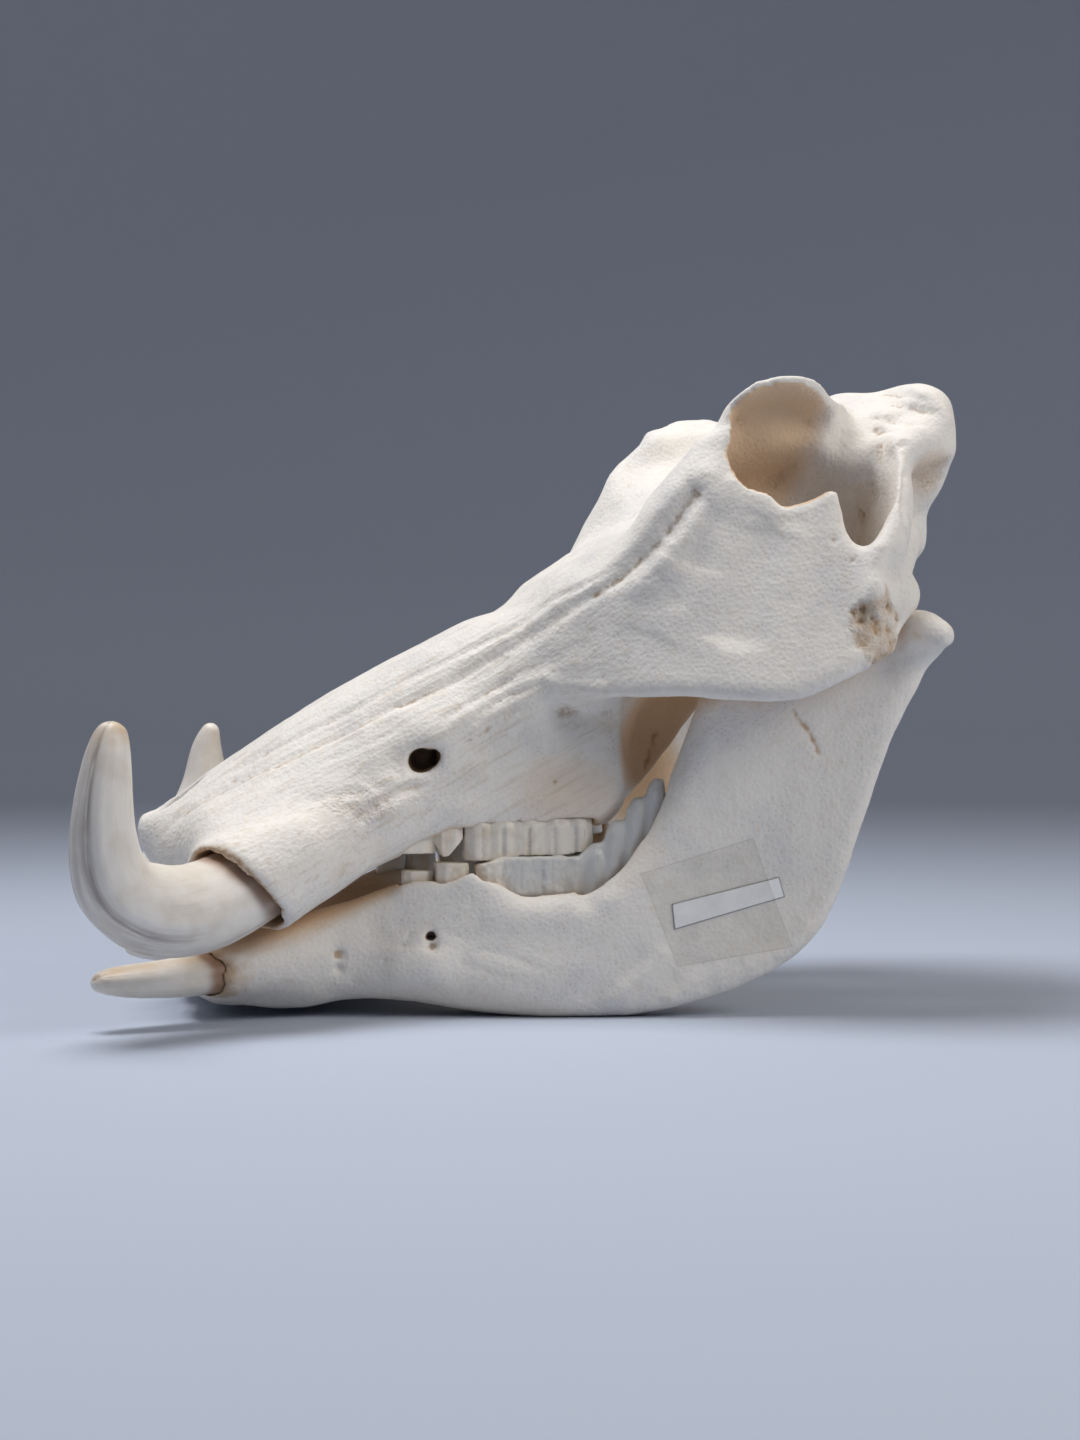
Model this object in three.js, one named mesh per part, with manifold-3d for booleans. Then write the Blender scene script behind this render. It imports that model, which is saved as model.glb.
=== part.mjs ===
// A warthog skull: the cranium lying on its lower jaw, with tusks and cheek teeth in their sockets.
// Millimetres, +Z up. The snout points to -X and the animal's left side faces -Y.
import * as THREE from "three";
import { mergeVertices } from "three/addons/utils/BufferGeometryUtils.js";
import Module from "manifold-3d";

const wasm = await Module();
wasm.setup();

// Driving dimensions

const SNOUT_X = -157; // front of the snout
const CREST_X = 160; // back of the nuchal crest
const CONDYLE = [134, 77, 143]; // middle of the jaw joint, on the right side
const BITE_Z = 60.5; // height where the upper and lower cheek teeth meet
const REST_Z = 0.9; // height of the flats that the lower jaw stands on
const FIT_GAP = 0.4; // clearance between a tooth and its socket
const SOCKET_MOUTH = 1; // further clearance round an upper tusk at the mouth of its socket
const LEAF_GAP = 0.3; // clearance between the bone, the card and the tape
const CELL = 3; // grid step of the bone surface
const CRANIUM_FACES = 3750;
const JAW_FACES = 1600;

// Curves and distances

const clamp = (v, low, high) => Math.min(Math.max(v, low), high);

/** A smooth curve through [x, value] points, level beyond its ends. */
function profile(...points) {
  const slopes = points.map((_, i) => {
    const before = points[Math.max(i - 1, 0)];
    const after = points[Math.min(i + 1, points.length - 1)];
    return (after[1] - before[1]) / (after[0] - before[0]);
  });
  return (x) => {
    const last = points.length - 1;
    if (x <= points[0][0]) return points[0][1];
    if (x >= points[last][0]) return points[last][1];
    const i = points.findIndex((p) => x < p[0]) - 1;
    const [[x0, v0], [x1, v1]] = [points[i], points[i + 1]];
    const t = (x - x0) / (x1 - x0);
    const bend = (x1 - x0) * t * (1 - t);
    const rise = t * t * (3 - 2 * t);
    return v0 + (v1 - v0) * rise + bend * ((1 - t) * slopes[i] - t * slopes[i + 1]);
  };
}

/** Signed distance to a closed smooth outline through [u, v] points, negative inside. */
function outline(...points) {
  const stations = points.map(([u, v]) => new THREE.Vector3(u, v, 0));
  const line = new THREE.CatmullRomCurve3(stations, true, "centripetal").getPoints(points.length * 4);
  return (u, v) => {
    let nearest = Infinity;
    let inside = false;
    for (let i = 1; i < line.length; i++) {
      const a = line[i - 1];
      const b = line[i];
      const du = b.x - a.x;
      const dv = b.y - a.y;
      const t = clamp(((u - a.x) * du + (v - a.y) * dv) / (du * du + dv * dv || 1), 0, 1);
      nearest = Math.min(nearest, (u - a.x - t * du) ** 2 + (v - a.y - t * dv) ** 2);
      if (a.y > v !== b.y > v && u < a.x + (du * (v - a.y)) / dv) inside = !inside;
    }
    return inside ? -Math.sqrt(nearest) : Math.sqrt(nearest);
  };
}

/** Two forms joined with a fillet of about size k. */
function join(a, b, k) {
  const h = Math.max(k - Math.abs(a - b), 0) / k;
  return Math.min(a, b) - (h * h * k) / 4;
}

/** The common part of two forms, with an edge rounded by about k. */
const meet = (a, b, k) => -join(-a, -b, k);

/** Form a with form b cut away, with an edge rounded by about k. */
const carve = (a, b, k) => -join(-a, b, k);

/** A round bar through [x, y, z, radius] stations. */
function bar(...stations) {
  return (x, y, z) => {
    let nearest = Infinity;
    for (let i = 1; i < stations.length; i++) {
      const [ax, ay, az, ar] = stations[i - 1];
      const [bx, by, bz, br] = stations[i];
      const [dx, dy, dz] = [bx - ax, by - ay, bz - az];
      const along = (x - ax) * dx + (y - ay) * dy + (z - az) * dz;
      const t = clamp(along / (dx * dx + dy * dy + dz * dz), 0, 1);
      const away = Math.hypot(x - ax - t * dx, y - ay - t * dy, z - az - t * dz);
      nearest = Math.min(nearest, away - ar - t * (br - ar));
    }
    return nearest;
  };
}

/** An ellipsoid about a centre, with half-sizes along X, Y and Z. */
function ovoid([cx, cy, cz], [rx, ry, rz]) {
  const least = Math.min(rx, ry, rz);
  return (x, y, z) => (Math.hypot((x - cx) / rx, (y - cy) / ry, (z - cz) / rz) - 1) * least;
}

/** A body along X whose section is a rounded box: its roof, floor and half-width follow curves. */
function loft({ from, to, roof, floor, width, corner, narrowing = 0, rounding = 7 }) {
  return (x, y, z) => {
    const at = clamp(x, from, to);
    const half = (roof(at) - floor(at)) / 2;
    const up = (z - roof(at) + half) / half;
    const wide = width(at) * (1 - narrowing * clamp(up, -1, 1));
    const reach = (Math.abs(y / wide) ** corner + Math.abs(up) ** corner) ** (1 / corner);
    const ends = Math.abs(x - (from + to) / 2) - (to - from) / 2;
    return meet((reach - 1) * Math.min(wide, half), ends, rounding);
  };
}

// Cranium, described on its right side and mirrored

const ROOF_LINE = profile(
  [SNOUT_X, 72], [-134, 90], [-84, 123], [-28, 153], [12, 176],
  [65, 205], [95, 222], [122, 240], [145, 245], [CREST_X, 240],
);

const snout = loft({
  from: SNOUT_X,
  to: 25,
  roof: ROOF_LINE,
  floor: profile([SNOUT_X, 50], [-130, 52], [-100, 60], [-60, 73], [-20, 78], [26, 82]),
  width: profile([SNOUT_X, 22], [-138, 28], [-110, 31], [-84, 33], [-56, 37], [-28, 41], [0, 44], [26, 45]),
  corner: 3,
  narrowing: 0.14,
  rounding: 12,
});

const braincase = loft({
  from: 0,
  to: CREST_X - 8,
  roof: ROOF_LINE,
  floor: profile([0, 120], [30, 130], [60, 143], [95, 157], [130, 170], [CREST_X, 180]),
  width: profile([0, 43], [25, 45], [45, 41], [62, 35], [85, 31], [108, 31], [128, 36], [CREST_X, 42]),
  corner: 2.6,
});

// The brow: a saucer between the eyes whose raised edges are the upper rims of the orbits.
const BROW_WIDTH = profile(
  [18, 38], [38, 49], [50, 57], [60, 62], [72, 66], [84, 67], [94, 65], [103, 57], [110, 46], [116, 38],
);
const BROW_EDGE = profile(
  [18, 178], [32, 187], [40, 203], [46, 215.5], [53, 226], [61, 236.5], [72, 244], [80, 245.5],
  [90, 245], [99, 241], [107, 239], [116, 239],
);
// The right brow stands a little further forward than the left.
const RIGHT_BROW_AHEAD = 8;
function brow(x, y, z) {
  const wide = BROW_WIDTH(x);
  const out = clamp(y / wide, 0, 1.2);
  const top = ROOF_LINE(x) + (BROW_EDGE(x) - ROOF_LINE(x)) * out ** 2.2;
  const thick = 15 - 6 * clamp(out, 0, 1);
  const slab = Math.abs(z - top + thick / 2) - thick / 2;
  const plan = meet(y - wide, Math.abs(x - 67) - 49, 8);
  return meet(slab * 0.85, plan, 6);
}

// The cheek: a deep plate that leaves the snout, bows outwards under the eye and runs back to the jaw joint.
const CHEEK_OUTLINE = outline(
  [-14, 128], [6, 121], [39, 120], [77, 119], [99, 129], [116, 138], [124, 156], [122, 170], [110, 173],
  [101, 180], [97, 200], [82, 197.5], [74, 196.5], [64, 201], [60, 208], [58, 222], [40, 198],
  [14, 168], [-8, 146],
);
const CHEEK_BOW = profile([-14, 40], [6, 55], [20, 67], [39, 80], [61, 91], [80, 97], [100, 101], [124, 97]);
const CHEEK_LEAN = 0.24;
function cheek(x, y, z) {
  const middle = CHEEK_BOW(x) - CHEEK_LEAN * (z - 122) - 5;
  const thick = 5.5 - 2.2 * clamp((z - 130) / 60, 0, 1);
  return meet(CHEEK_OUTLINE(x, z), (Math.abs(y - middle) - thick) * 0.85, 5);
}

// The wall behind the temple, from the braincase down to the root of the cheek arch.
const TEMPLE_WALL = outline(
  [28, 236], [56, 226], [70, 207], [82, 188], [90, 172], [96, 157], [88, 150], [62, 154], [28, 160],
);
function templeWall(x, y, z) {
  const middle = 131 - 0.14 * (224 - z) - 0.014 * Math.max(y - 62, 0) ** 2;
  return meet(TEMPLE_WALL(y, z), Math.abs(x - middle) - 4.5, 5);
}

// The nuchal crest: a thick flaring edge at the back of the head.
const CREST_OUTLINE = outline(
  [-20, 244], [0, 245], [24, 247], [44, 241], [54, 228], [52, 213], [36, 203], [0, 200], [-20, 200],
);
function nuchalCrest(x, y, z) {
  const middle = 156 - 0.006 * (z - 228) ** 2 - 0.003 * y * y;
  return meet(CREST_OUTLINE(y, z), Math.abs(x - middle) - 7.5, 9);
}

// The wings of the palate: thin walls either side of the inner nostrils.
const PALATE_WING = outline(
  [12, 84], [30, 83], [42, 95], [58, 116], [78, 138], [76, 154], [40, 146], [12, 120],
);
function palateWing(x, y, z) {
  return meet(PALATE_WING(x, z), Math.abs(y - 23) - 4, 4);
}

// The sheath of the upper tusk swells out of the snout and ends in a slanting mouth.
const sheath = bar(
  [-48, 29, 86, 12], [-84, 42, 68, 16], [-104, 52, 60, 18.7], [-118, 58.5, 53.5, 20.6], [-145, 73, 42, 21],
);
function tuskSheath(x, y, z) {
  return meet(sheath(x, y, z), -0.6 * (x + 128) + 0.42 * (y - 60) - 0.68 * (z - 50), 3);
}

const snoutShoulder = bar([-48, 26, 104, 14], [-92, 34, 82, 15], [-128, 36, 68, 12]);
const tearBone = ovoid([45, 52, 184], [15, 12, 18]);
const crestWing = bar(
  [148, 44, 217, 7.5], [139, 53, 218, 5], [130, 61, 216, 3.6], [124, 77, 199, 3.6], [119, 84, 184, 4],
  [112, 87, 174, 4.5],
);
const molarRidge = bar([-66, 36, 76, 9], [-40, 36, 80, 11], [-8, 36, 82, 12.5], [12, 36, 83, 12.5]);
const occipitalCondyle = ovoid([145, 17, 187], [11, 12, 13]);
const paracondylarProcess = bar([136, 42, 184, 9], [130, 45, 160, 6.5], [126, 45, 138, 4]);
const earBulla = ovoid([117, 27, 158], [13, 9, 13]);
const glenoid = bar([126, 56, 161, 7], [124, 76, 159, 6.5], [113, 92, 158, 6]);

const orbit = ovoid([78, 66, 214], [23, 31, 22]);
const nostril = bar([SNOUT_X - 22, 0, 70, 16], [-132, 0, 76, 12], [-112, 0, 84, 8]);
const palateVault = ovoid([-62, 0, 52], [84, 24, 22]);
const foramenMagnum = bar([CREST_X + 10, 0, 196, 9.5], [128, 0, 198, 9]);
const infraorbitalForamen = bar([-62, 52, 95, 4.4], [-48, 38, 98, 4.2], [-30, 30, 102, 3]);
const lipNotch = bar([SNOUT_X - 8, 0, 52, 7], [-146, 0, 52, 3]);

function cranium(x, side, z) {
  const y = Math.abs(side);
  let bone = join(snout(x, y, z), braincase(x, y, z), 16);
  bone = join(bone, snoutShoulder(x, y, z), 16);
  bone = join(bone, tuskSheath(x, y, z), 15);
  bone = join(bone, molarRidge(x, y, z), 16);
  bone = join(bone, tearBone(x, y, z), 12);
  bone = join(bone, cheek(x, y, z), 14);
  bone = carve(bone, orbit(x, y, z), 5);
  bone = join(bone, brow(side > 0 ? x + RIGHT_BROW_AHEAD : x, y, z), 8);
  bone = join(bone, templeWall(x, y, z), 8);
  bone = join(bone, nuchalCrest(x, y, z), 14);
  bone = join(bone, crestWing(x, y, z), 7);
  bone = join(bone, glenoid(x, y, z), 8);
  bone = join(bone, occipitalCondyle(x, y, z), 7);
  bone = join(bone, paracondylarProcess(x, y, z), 9);
  bone = join(bone, earBulla(x, y, z), 6);
  bone = join(bone, palateWing(x, y, z), 8);
  bone = carve(bone, nostril(x, y, z), 4);
  bone = carve(bone, palateVault(x, y, z), 8);
  bone = carve(bone, foramenMagnum(x, y, z), 4);
  bone = carve(bone, lipNotch(x, y, z), 4);
  return carve(bone, infraorbitalForamen(x, y, z), 2);
}

// Lower jaw, described on its right side and mirrored

const JAW_OUTLINE = outline(
  [-140, 16], [-131, 5], [-112, 4], [-82, 9], [-64, 7], [-40, 3], [-8, 0], [22, 1], [47, 6], [76, 17],
  [92, 29], [101, 44], [108, 64], [116, 88], [124, 110], [136, 130], [140, 141], [134, 149], [116, 147],
  [96, 142], [84, 150], [68, 156], [56, 142], [48, 119], [39, 94], [31, 74], [20, 58], [8, 49],
  [-12, 46], [-34, 49], [-52, 53], [-66, 49], [-84, 42], [-110, 35], [-130, 28],
);
const JAW_MIDDLE = profile(
  [-140, 26], [-116, 27], [-84, 30], [-60, 35], [-30, 42], [8, 50], [45, 59], [80, 66], [112, 72], [141, 77],
);
const JAW_HALF = profile(
  [-140, 9], [-100, 11], [-60, 11.5], [-10, 13.5], [24, 12], [48, 8], [76, 5.5], [110, 5], [141, 6],
);
function jawSide(x, y, z) {
  const flare = 0.002 * Math.min(z - 60, 0) ** 2 * clamp((x - 10) / 60, 0, 1);
  const thick = JAW_HALF(x) * (1 - 0.3 * clamp((z - 40) / 40, 0, 1) * clamp((60 - x) / 30, 0, 1));
  return meet(JAW_OUTLINE(x, z), (Math.abs(y - JAW_MIDDLE(x) - flare) - thick) * 0.9, 9);
}

const chin = loft({
  from: -141,
  to: -52,
  roof: profile([-141, 19], [-120, 24], [-96, 28], [-70, 29], [-52, 27]),
  floor: profile([-141, 8], [-126, 0], [-108, 0.5], [-78, 9], [-52, 18]),
  width: profile([-141, 22], [-120, 31], [-96, 30], [-52, 34]),
  corner: 2.6,
});
const lowerTuskSheath = bar([-78, 31, 27, 9], [-104, 38, 23, 11.5], [-127, 44, 19.5, 12]);
const jawCondyle = bar(
  [CONDYLE[0], CONDYLE[1] - 16, CONDYLE[2], 7], [CONDYLE[0] - 1, CONDYLE[1] + 13, CONDYLE[2] - 3, 6.5],
);
const tongueTrough = ovoid([-92, 0, 40], [60, 17, 17]);

function lowerJaw(x, side, z) {
  const y = Math.abs(side);
  let bone = join(jawSide(x, y, z), chin(x, y, z), 14);
  bone = join(bone, lowerTuskSheath(x, y, z), 10);
  bone = join(bone, jawCondyle(x, y, z), 8);
  bone = carve(bone, tongueTrough(x, y, z), 8);
  return z > 110 ? carve(bone, cranium(x, y, z) - 1.8, 1) : bone;
}

// Surface of a form

const CUBE_WALKS = [[1, 3, 7], [1, 5, 7], [2, 3, 7], [2, 6, 7], [4, 5, 7], [4, 6, 7]];

/** Triangles, as pairs of cut edges, that part the inside corners of a tetrahedron from its outside ones. */
function tetrahedronFaces(corners, inside) {
  const place = (c) => new THREE.Vector3(c & 1, (c >> 1) & 1, (c >> 2) & 1);
  const within = corners.filter((_, i) => inside & (1 << i));
  const without = corners.filter((_, i) => !(inside & (1 << i)));
  if (!within.length || !without.length) return [];
  const ring =
    within.length === 2
      ? [[within[0], without[0]], [within[0], without[1]], [within[1], without[1]], [within[1], without[0]]]
      : within.flatMap((a) => without.map((b) => [a, b]));
  const [p, q, r] = ring.map(([a, b]) => place(a).add(place(b)).multiplyScalar(0.5));
  const outward = place(without[0]).sub(place(within[0]));
  const facing = q.clone().sub(p).cross(r.clone().sub(p)).dot(outward);
  if (facing < 0) ring.reverse();
  return ring.length === 4 ? [[ring[0], ring[1], ring[2]], [ring[0], ring[2], ring[3]]] : [ring];
}
const FACE_CASES = CUBE_WALKS.map((walk) =>
  Array.from({ length: 16 }, (_, inside) => tetrahedronFaces([0, ...walk], inside)),
);

/** The closed surface where a form's distance is zero, found on a grid of cells. */
function surfaceOf(form, low, high) {
  const count = low.map((v, i) => Math.ceil((high[i] - v) / CELL) + 1);
  const step = [1, count[0], count[0] * count[1]];
  const value = new Float32Array(step[2] * count[2]);
  const spot = (i) => [i % step[1], Math.floor((i % step[2]) / step[1]), Math.floor(i / step[2])];
  for (let i = 0; i < value.length; i++) {
    const [a, b, c] = spot(i);
    const twin = i + (count[1] - 1 - 2 * b) * step[1];
    value[i] = twin < i ? value[twin] : form(low[0] + a * CELL, low[1] + b * CELL, low[2] + c * CELL);
  }
  const offset = (c) => (c & 1) * step[0] + ((c >> 1) & 1) * step[1] + ((c >> 2) & 1) * step[2];
  const corners = [0, 1, 2, 3, 4, 5, 6, 7].map(offset);
  const places = [];
  const faces = [];
  const known = new Map();
  const vertexOn = (cell, [a, b]) => {
    const [from, to] = a < b ? [a, b] : [b, a];
    const start = cell + corners[from];
    const end = cell + corners[to];
    const key = start * 8 + (to - from);
    if (!known.has(key)) {
      const t = clamp(value[start] / (value[start] - value[end]), 0.04, 0.96);
      const [p, q] = [spot(start), spot(end)];
      known.set(key, places.length);
      places.push(p.map((v, i) => low[i] + CELL * (v + t * (q[i] - v))));
    }
    return known.get(key);
  };
  for (let cell = 0; cell < value.length; cell++) {
    const [a, b, c] = spot(cell);
    if (a === count[0] - 1 || b === count[1] - 1 || c === count[2] - 1) continue;
    const filled = corners.filter((o) => value[cell + o] < 0).length;
    if (filled === 0 || filled === 8) continue;
    CUBE_WALKS.forEach((walk, w) => {
      const inside = [0, ...walk].reduce((bits, k, i) => bits | ((value[cell + corners[k]] < 0) << i), 0);
      for (const ring of FACE_CASES[w][inside]) faces.push(ring.map((edge) => vertexOn(cell, edge)));
    });
  }
  return { places, faces };
}

/** A surface with its flat stretches drawn by fewer, larger triangles, the least harmful edges first. */
function thinned({ places, faces }, target) {
  const quadric = places.map(() => new Float64Array(10));
  const around = places.map(() => new Set());
  const version = new Int32Array(places.length);
  const crossOf = ([ax, ay, az], [bx, by, bz], [cx, cy, cz]) => {
    const [ux, uy, uz, vx, vy, vz] = [bx - ax, by - ay, bz - az, cx - ax, cy - ay, cz - az];
    return [uy * vz - uz * vy, uz * vx - ux * vz, ux * vy - uy * vx];
  };
  faces.forEach((face, f) => {
    const n = crossOf(...face.map((v) => places[v]));
    const size = Math.hypot(...n);
    if (size > 0) {
      const [a, b, c] = n.map((v) => v / size);
      const d = -(a * places[face[0]][0] + b * places[face[0]][1] + c * places[face[0]][2]);
      const terms = [a * a, a * b, a * c, a * d, b * b, b * c, b * d, c * c, c * d, d * d];
      for (const v of face) terms.forEach((t, i) => (quadric[v][i] += t * size));
    }
    for (const v of face) around[v].add(f);
  });
  const harm = (q, [x, y, z]) =>
    q[0] * x * x + 2 * q[1] * x * y + 2 * q[2] * x * z + 2 * q[3] * x + q[4] * y * y +
    2 * q[5] * y * z + 2 * q[6] * y + q[7] * z * z + 2 * q[8] * z + q[9];
  const best = (q, a, b) => {
    const middle = a.map((v, i) => (v + b[i]) / 2);
    const m = new THREE.Matrix3().set(q[0], q[1], q[2], q[1], q[4], q[5], q[2], q[5], q[7]);
    const choices = [a, b, middle];
    if (Math.abs(m.determinant()) > 1e-3) {
      const p = new THREE.Vector3(-q[3], -q[6], -q[8]).applyMatrix3(m.invert());
      const far = Math.hypot(p.x - middle[0], p.y - middle[1], p.z - middle[2]);
      if (far < 3 * CELL) choices.push([p.x, p.y, p.z]);
    }
    return choices.map((place) => ({ place, cost: harm(q, place) })).sort((s, t) => s.cost - t.cost)[0];
  };
  const heap = [];
  const swap = (i, j) => ([heap[i], heap[j]] = [heap[j], heap[i]]);
  const push = (item) => {
    let i = heap.push(item) - 1;
    for (let up = (i - 1) >> 1; i > 0 && heap[up].cost > heap[i].cost; i = up, up = (i - 1) >> 1) swap(i, up);
  };
  const pop = () => {
    swap(0, heap.length - 1);
    const item = heap.pop();
    for (let i = 0, least = 0; ; i = least) {
      for (const child of [2 * i + 1, 2 * i + 2])
        if (child < heap.length && heap[child].cost < heap[least].cost) least = child;
      if (least === i) return item;
      swap(i, least);
    }
  };
  const neighbours = (v) => new Set([...around[v]].flatMap((f) => faces[f]).filter((u) => u !== v));
  const offer = (a, b) => {
    const q = quadric[a].map((t, i) => t + quadric[b][i]);
    const { place, cost } = best(q, places[a], places[b]);
    const length = Math.hypot(...places[a].map((v, i) => v - places[b][i]));
    push({ a, b, place, cost: cost + 0.02 * length * length, stamp: version[a] + version[b] });
  };
  const turnsOver = (v, other, place) =>
    [...around[v]].some((f) => {
      if (faces[f].includes(other)) return false;
      const before = crossOf(...faces[f].map((u) => places[u]));
      const after = crossOf(...faces[f].map((u) => (u === v ? place : places[u])));
      const dot = before[0] * after[0] + before[1] * after[1] + before[2] * after[2];
      return dot < 0.25 * Math.hypot(...before) * Math.hypot(...after);
    });
  places.forEach((_, a) => neighbours(a).forEach((b) => a < b && offer(a, b)));
  let left = faces.length;
  while (left > target && heap.length) {
    const { a, b, place, stamp } = pop();
    if (version[a] < 0 || version[b] < 0 || version[a] + version[b] !== stamp) continue;
    const beside = neighbours(b);
    const shared = [...neighbours(a)].filter((v) => beside.has(v));
    if (shared.length !== 2 || turnsOver(a, b, place) || turnsOver(b, a, place)) continue;
    places[a] = place;
    quadric[a] = quadric[a].map((t, i) => t + quadric[b][i]);
    for (const f of around[b]) {
      if (faces[f].includes(a)) {
        for (const v of faces[f]) if (v !== b) around[v].delete(f);
        faces[f] = null;
        left--;
      } else {
        faces[f] = faces[f].map((v) => (v === b ? a : v));
        around[a].add(f);
      }
    }
    around[b].clear();
    version[b] = -1e9;
    version[a]++;
    neighbours(a).forEach((v) => offer(a, v));
  }
  return { places, faces: faces.filter(Boolean) };
}

// Solids

function geometryOf(vertices, triangles) {
  return new THREE.BufferGeometry()
    .setAttribute("position", new THREE.BufferAttribute(vertices, 3))
    .setIndex(new THREE.BufferAttribute(triangles, 1));
}

function solidOf(geometry) {
  const bare = geometry.clone().deleteAttribute("normal").deleteAttribute("uv");
  const { index, attributes } = mergeVertices(bare, 1e-3);
  const triVerts = new Uint32Array(index.array);
  const vertProperties = attributes.position.array;
  return new wasm.Manifold(new wasm.Mesh({ numProp: 3, vertProperties, triVerts }));
}

function geometryFrom(solid) {
  const { vertProperties, triVerts } = solid.getMesh();
  return geometryOf(vertProperties, triVerts);
}

/** The bone of a form, as a solid of about the given number of faces. */
function boneOf(form, low, high, faceCount) {
  const { places, faces } = thinned(surfaceOf(form, low, high), faceCount);
  return solidOf(geometryOf(new Float32Array(places.flat()), new Uint32Array(faces.flat())));
}

const craniumWhole = boneOf(cranium, [-180, -120, 28], [184, 120, 262], CRANIUM_FACES);
const jawWhole = boneOf(lowerJaw, [-158, -108, -12], [162, 108, 172], JAW_FACES);

// Tusks

/** A tusk through [x, y, z, radius] stations, oval in section, with a groove along one face. */
function tusk(stations, { across, sides, rings, flat, groove, grooveAt }, grow = () => 0) {
  const points = stations.map(([x, y, z]) => new THREE.Vector3(x, y, z));
  const path = new THREE.CatmullRomCurve3(points, false, "centripetal");
  const girth = profile(...stations.map((station, i) => [i / (stations.length - 1), station[3]]));
  const places = [];
  const faces = [];
  for (let i = 0; i <= rings; i++) {
    const t = i / rings;
    const along = path.getTangent(t);
    const wide = across.clone().addScaledVector(along, -across.dot(along)).normalize();
    const deep = wide.clone().cross(along);
    const middle = path.getPoint(t).addScaledVector(along, i === 0 ? -grow(0) : 0);
    for (let k = 0; k < sides; k++) {
      const turn = (2 * Math.PI * k) / sides;
      const dent = groove * Math.exp((Math.cos(turn - grooveAt) - 1) * 12);
      const r = girth(t) * (1 - dent) + grow(t);
      const spot = middle.clone().addScaledVector(deep, r * Math.cos(turn));
      places.push(spot.addScaledVector(wide, r * flat * Math.sin(turn)));
    }
  }
  const point = places.push(path.getPoint(1).addScaledVector(path.getTangent(1), 0.45 * girth(1))) - 1;
  const root = places.push(path.getPoint(0).addScaledVector(path.getTangent(0), -grow(0))) - 1;
  for (let k = 0; k < sides; k++) {
    const next = (k + 1) % sides;
    for (let i = 0; i < rings; i++) {
      const [a, b, c, d] = [i * sides + k, i * sides + next, (i + 1) * sides + next, (i + 1) * sides + k];
      faces.push(a, b, c, a, c, d);
    }
    faces.push(root, next, k);
    faces.push(point, rings * sides + k, rings * sides + next);
  }
  return geometryOf(new Float32Array(places.flatMap((v) => v.toArray())), new Uint32Array(faces));
}

const UPPER_ROOT = [[-78, 40, 71, 11.5], [-104, 52, 60, 15], [-126.5, 62, 49, 17.2]];
const mirrored = (stations) => stations.map(([x, y, z, r]) => [x, -y, z, r]);
const LEFT_UPPER = [
  ...mirrored(UPPER_ROOT), [-140, -71, 44.4, 17.3], [-154, -81, 45, 17], [-168, -90, 53, 15.4],
  [-172.5, -94, 68, 12.6], [-172.3, -95, 87, 10.4], [-170.4, -94, 103, 7.9], [-169, -93, 110, 5],
];
const RIGHT_UPPER = [
  ...UPPER_ROOT, [-135, 71, 46.5, 17], [-141, 81, 48, 16.3], [-142, 89, 56, 14.4], [-138, 94, 69, 12],
  [-132, 96, 85, 9.8], [-127, 95, 101, 6.6], [-124.5, 93, 109.5, 3.6],
];
const UPPER_SHAPE = { sides: 14, rings: 14, flat: 0.94, groove: 0.1 };
const LEFT_UPPER_SHAPE = { ...UPPER_SHAPE, across: new THREE.Vector3(-0.58, 0.82, 0), grooveAt: 3.7 };
const RIGHT_UPPER_SHAPE = { ...UPPER_SHAPE, across: new THREE.Vector3(-0.8, -0.6, 0), grooveAt: 6.05 };

const LOWER_ROOT = [[-92, 36, 25, 5.5], [-124, 44, 20, 6.8]];
const LEFT_LOWER = [
  ...mirrored(LOWER_ROOT), [-141, -50, 18.4, 6.6], [-156, -56, 18, 5.8], [-168, -61, 18.4, 4.8],
  [-175, -64, 18.8, 3],
];
const RIGHT_LOWER = [
  ...LOWER_ROOT, [-136, 48, 18.8, 6.6], [-147, 52, 18.4, 5.8], [-156, 55, 18.6, 4.8], [-161, 57, 19, 3],
];
const LOWER_SHAPE = { sides: 10, rings: 8, flat: 1.1, groove: 0.2 };
const LEFT_LOWER_SHAPE = { ...LOWER_SHAPE, across: new THREE.Vector3(0.3, -0.95, 0), grooveAt: 0 };
const RIGHT_LOWER_SHAPE = { ...LOWER_SHAPE, across: new THREE.Vector3(0.3, 0.95, 0), grooveAt: Math.PI };

// A socket is a coarser tusk, grown by its clearance, and wider at its mouth for an upper tusk.
const COARSE = { sides: 10, rings: 10, groove: 0 };
const coarseness = 1 - Math.cos(Math.PI / COARSE.sides);
const mouthGap = (t) => FIT_GAP + 17 * coarseness + SOCKET_MOUTH * clamp((t - 0.08) / 0.14, 0, 1);
const evenGap = () => FIT_GAP + 7 * coarseness;

// Cheek teeth

/** A crown standing between two heights, pinched into lobes along its length. */
function crown({ from, to, inner, outer, low, high, lobes, pinch }) {
  const steps = lobes * 3 + 1;
  const middle = (inner + outer) / 2;
  const side = (sign) =>
    Array.from({ length: steps + 1 }, (_, i) => {
      const u = sign > 0 ? i / steps : 1 - i / steps;
      const end = Math.abs(2 * u - 1) ** 8;
      const waist = Math.cos(Math.PI * lobes * u) ** 4;
      const half = ((outer - inner) / 2) * (1 - 0.35 * end) - pinch * waist;
      return new THREE.Vector2(from + u * (to - from), middle + sign * half);
    });
  const plan = new THREE.Shape([...side(-1).reverse(), ...side(1).reverse()]);
  return new THREE.ExtrudeGeometry(plan, { depth: high - low, bevelEnabled: false }).translate(0, 0, low);
}

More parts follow.
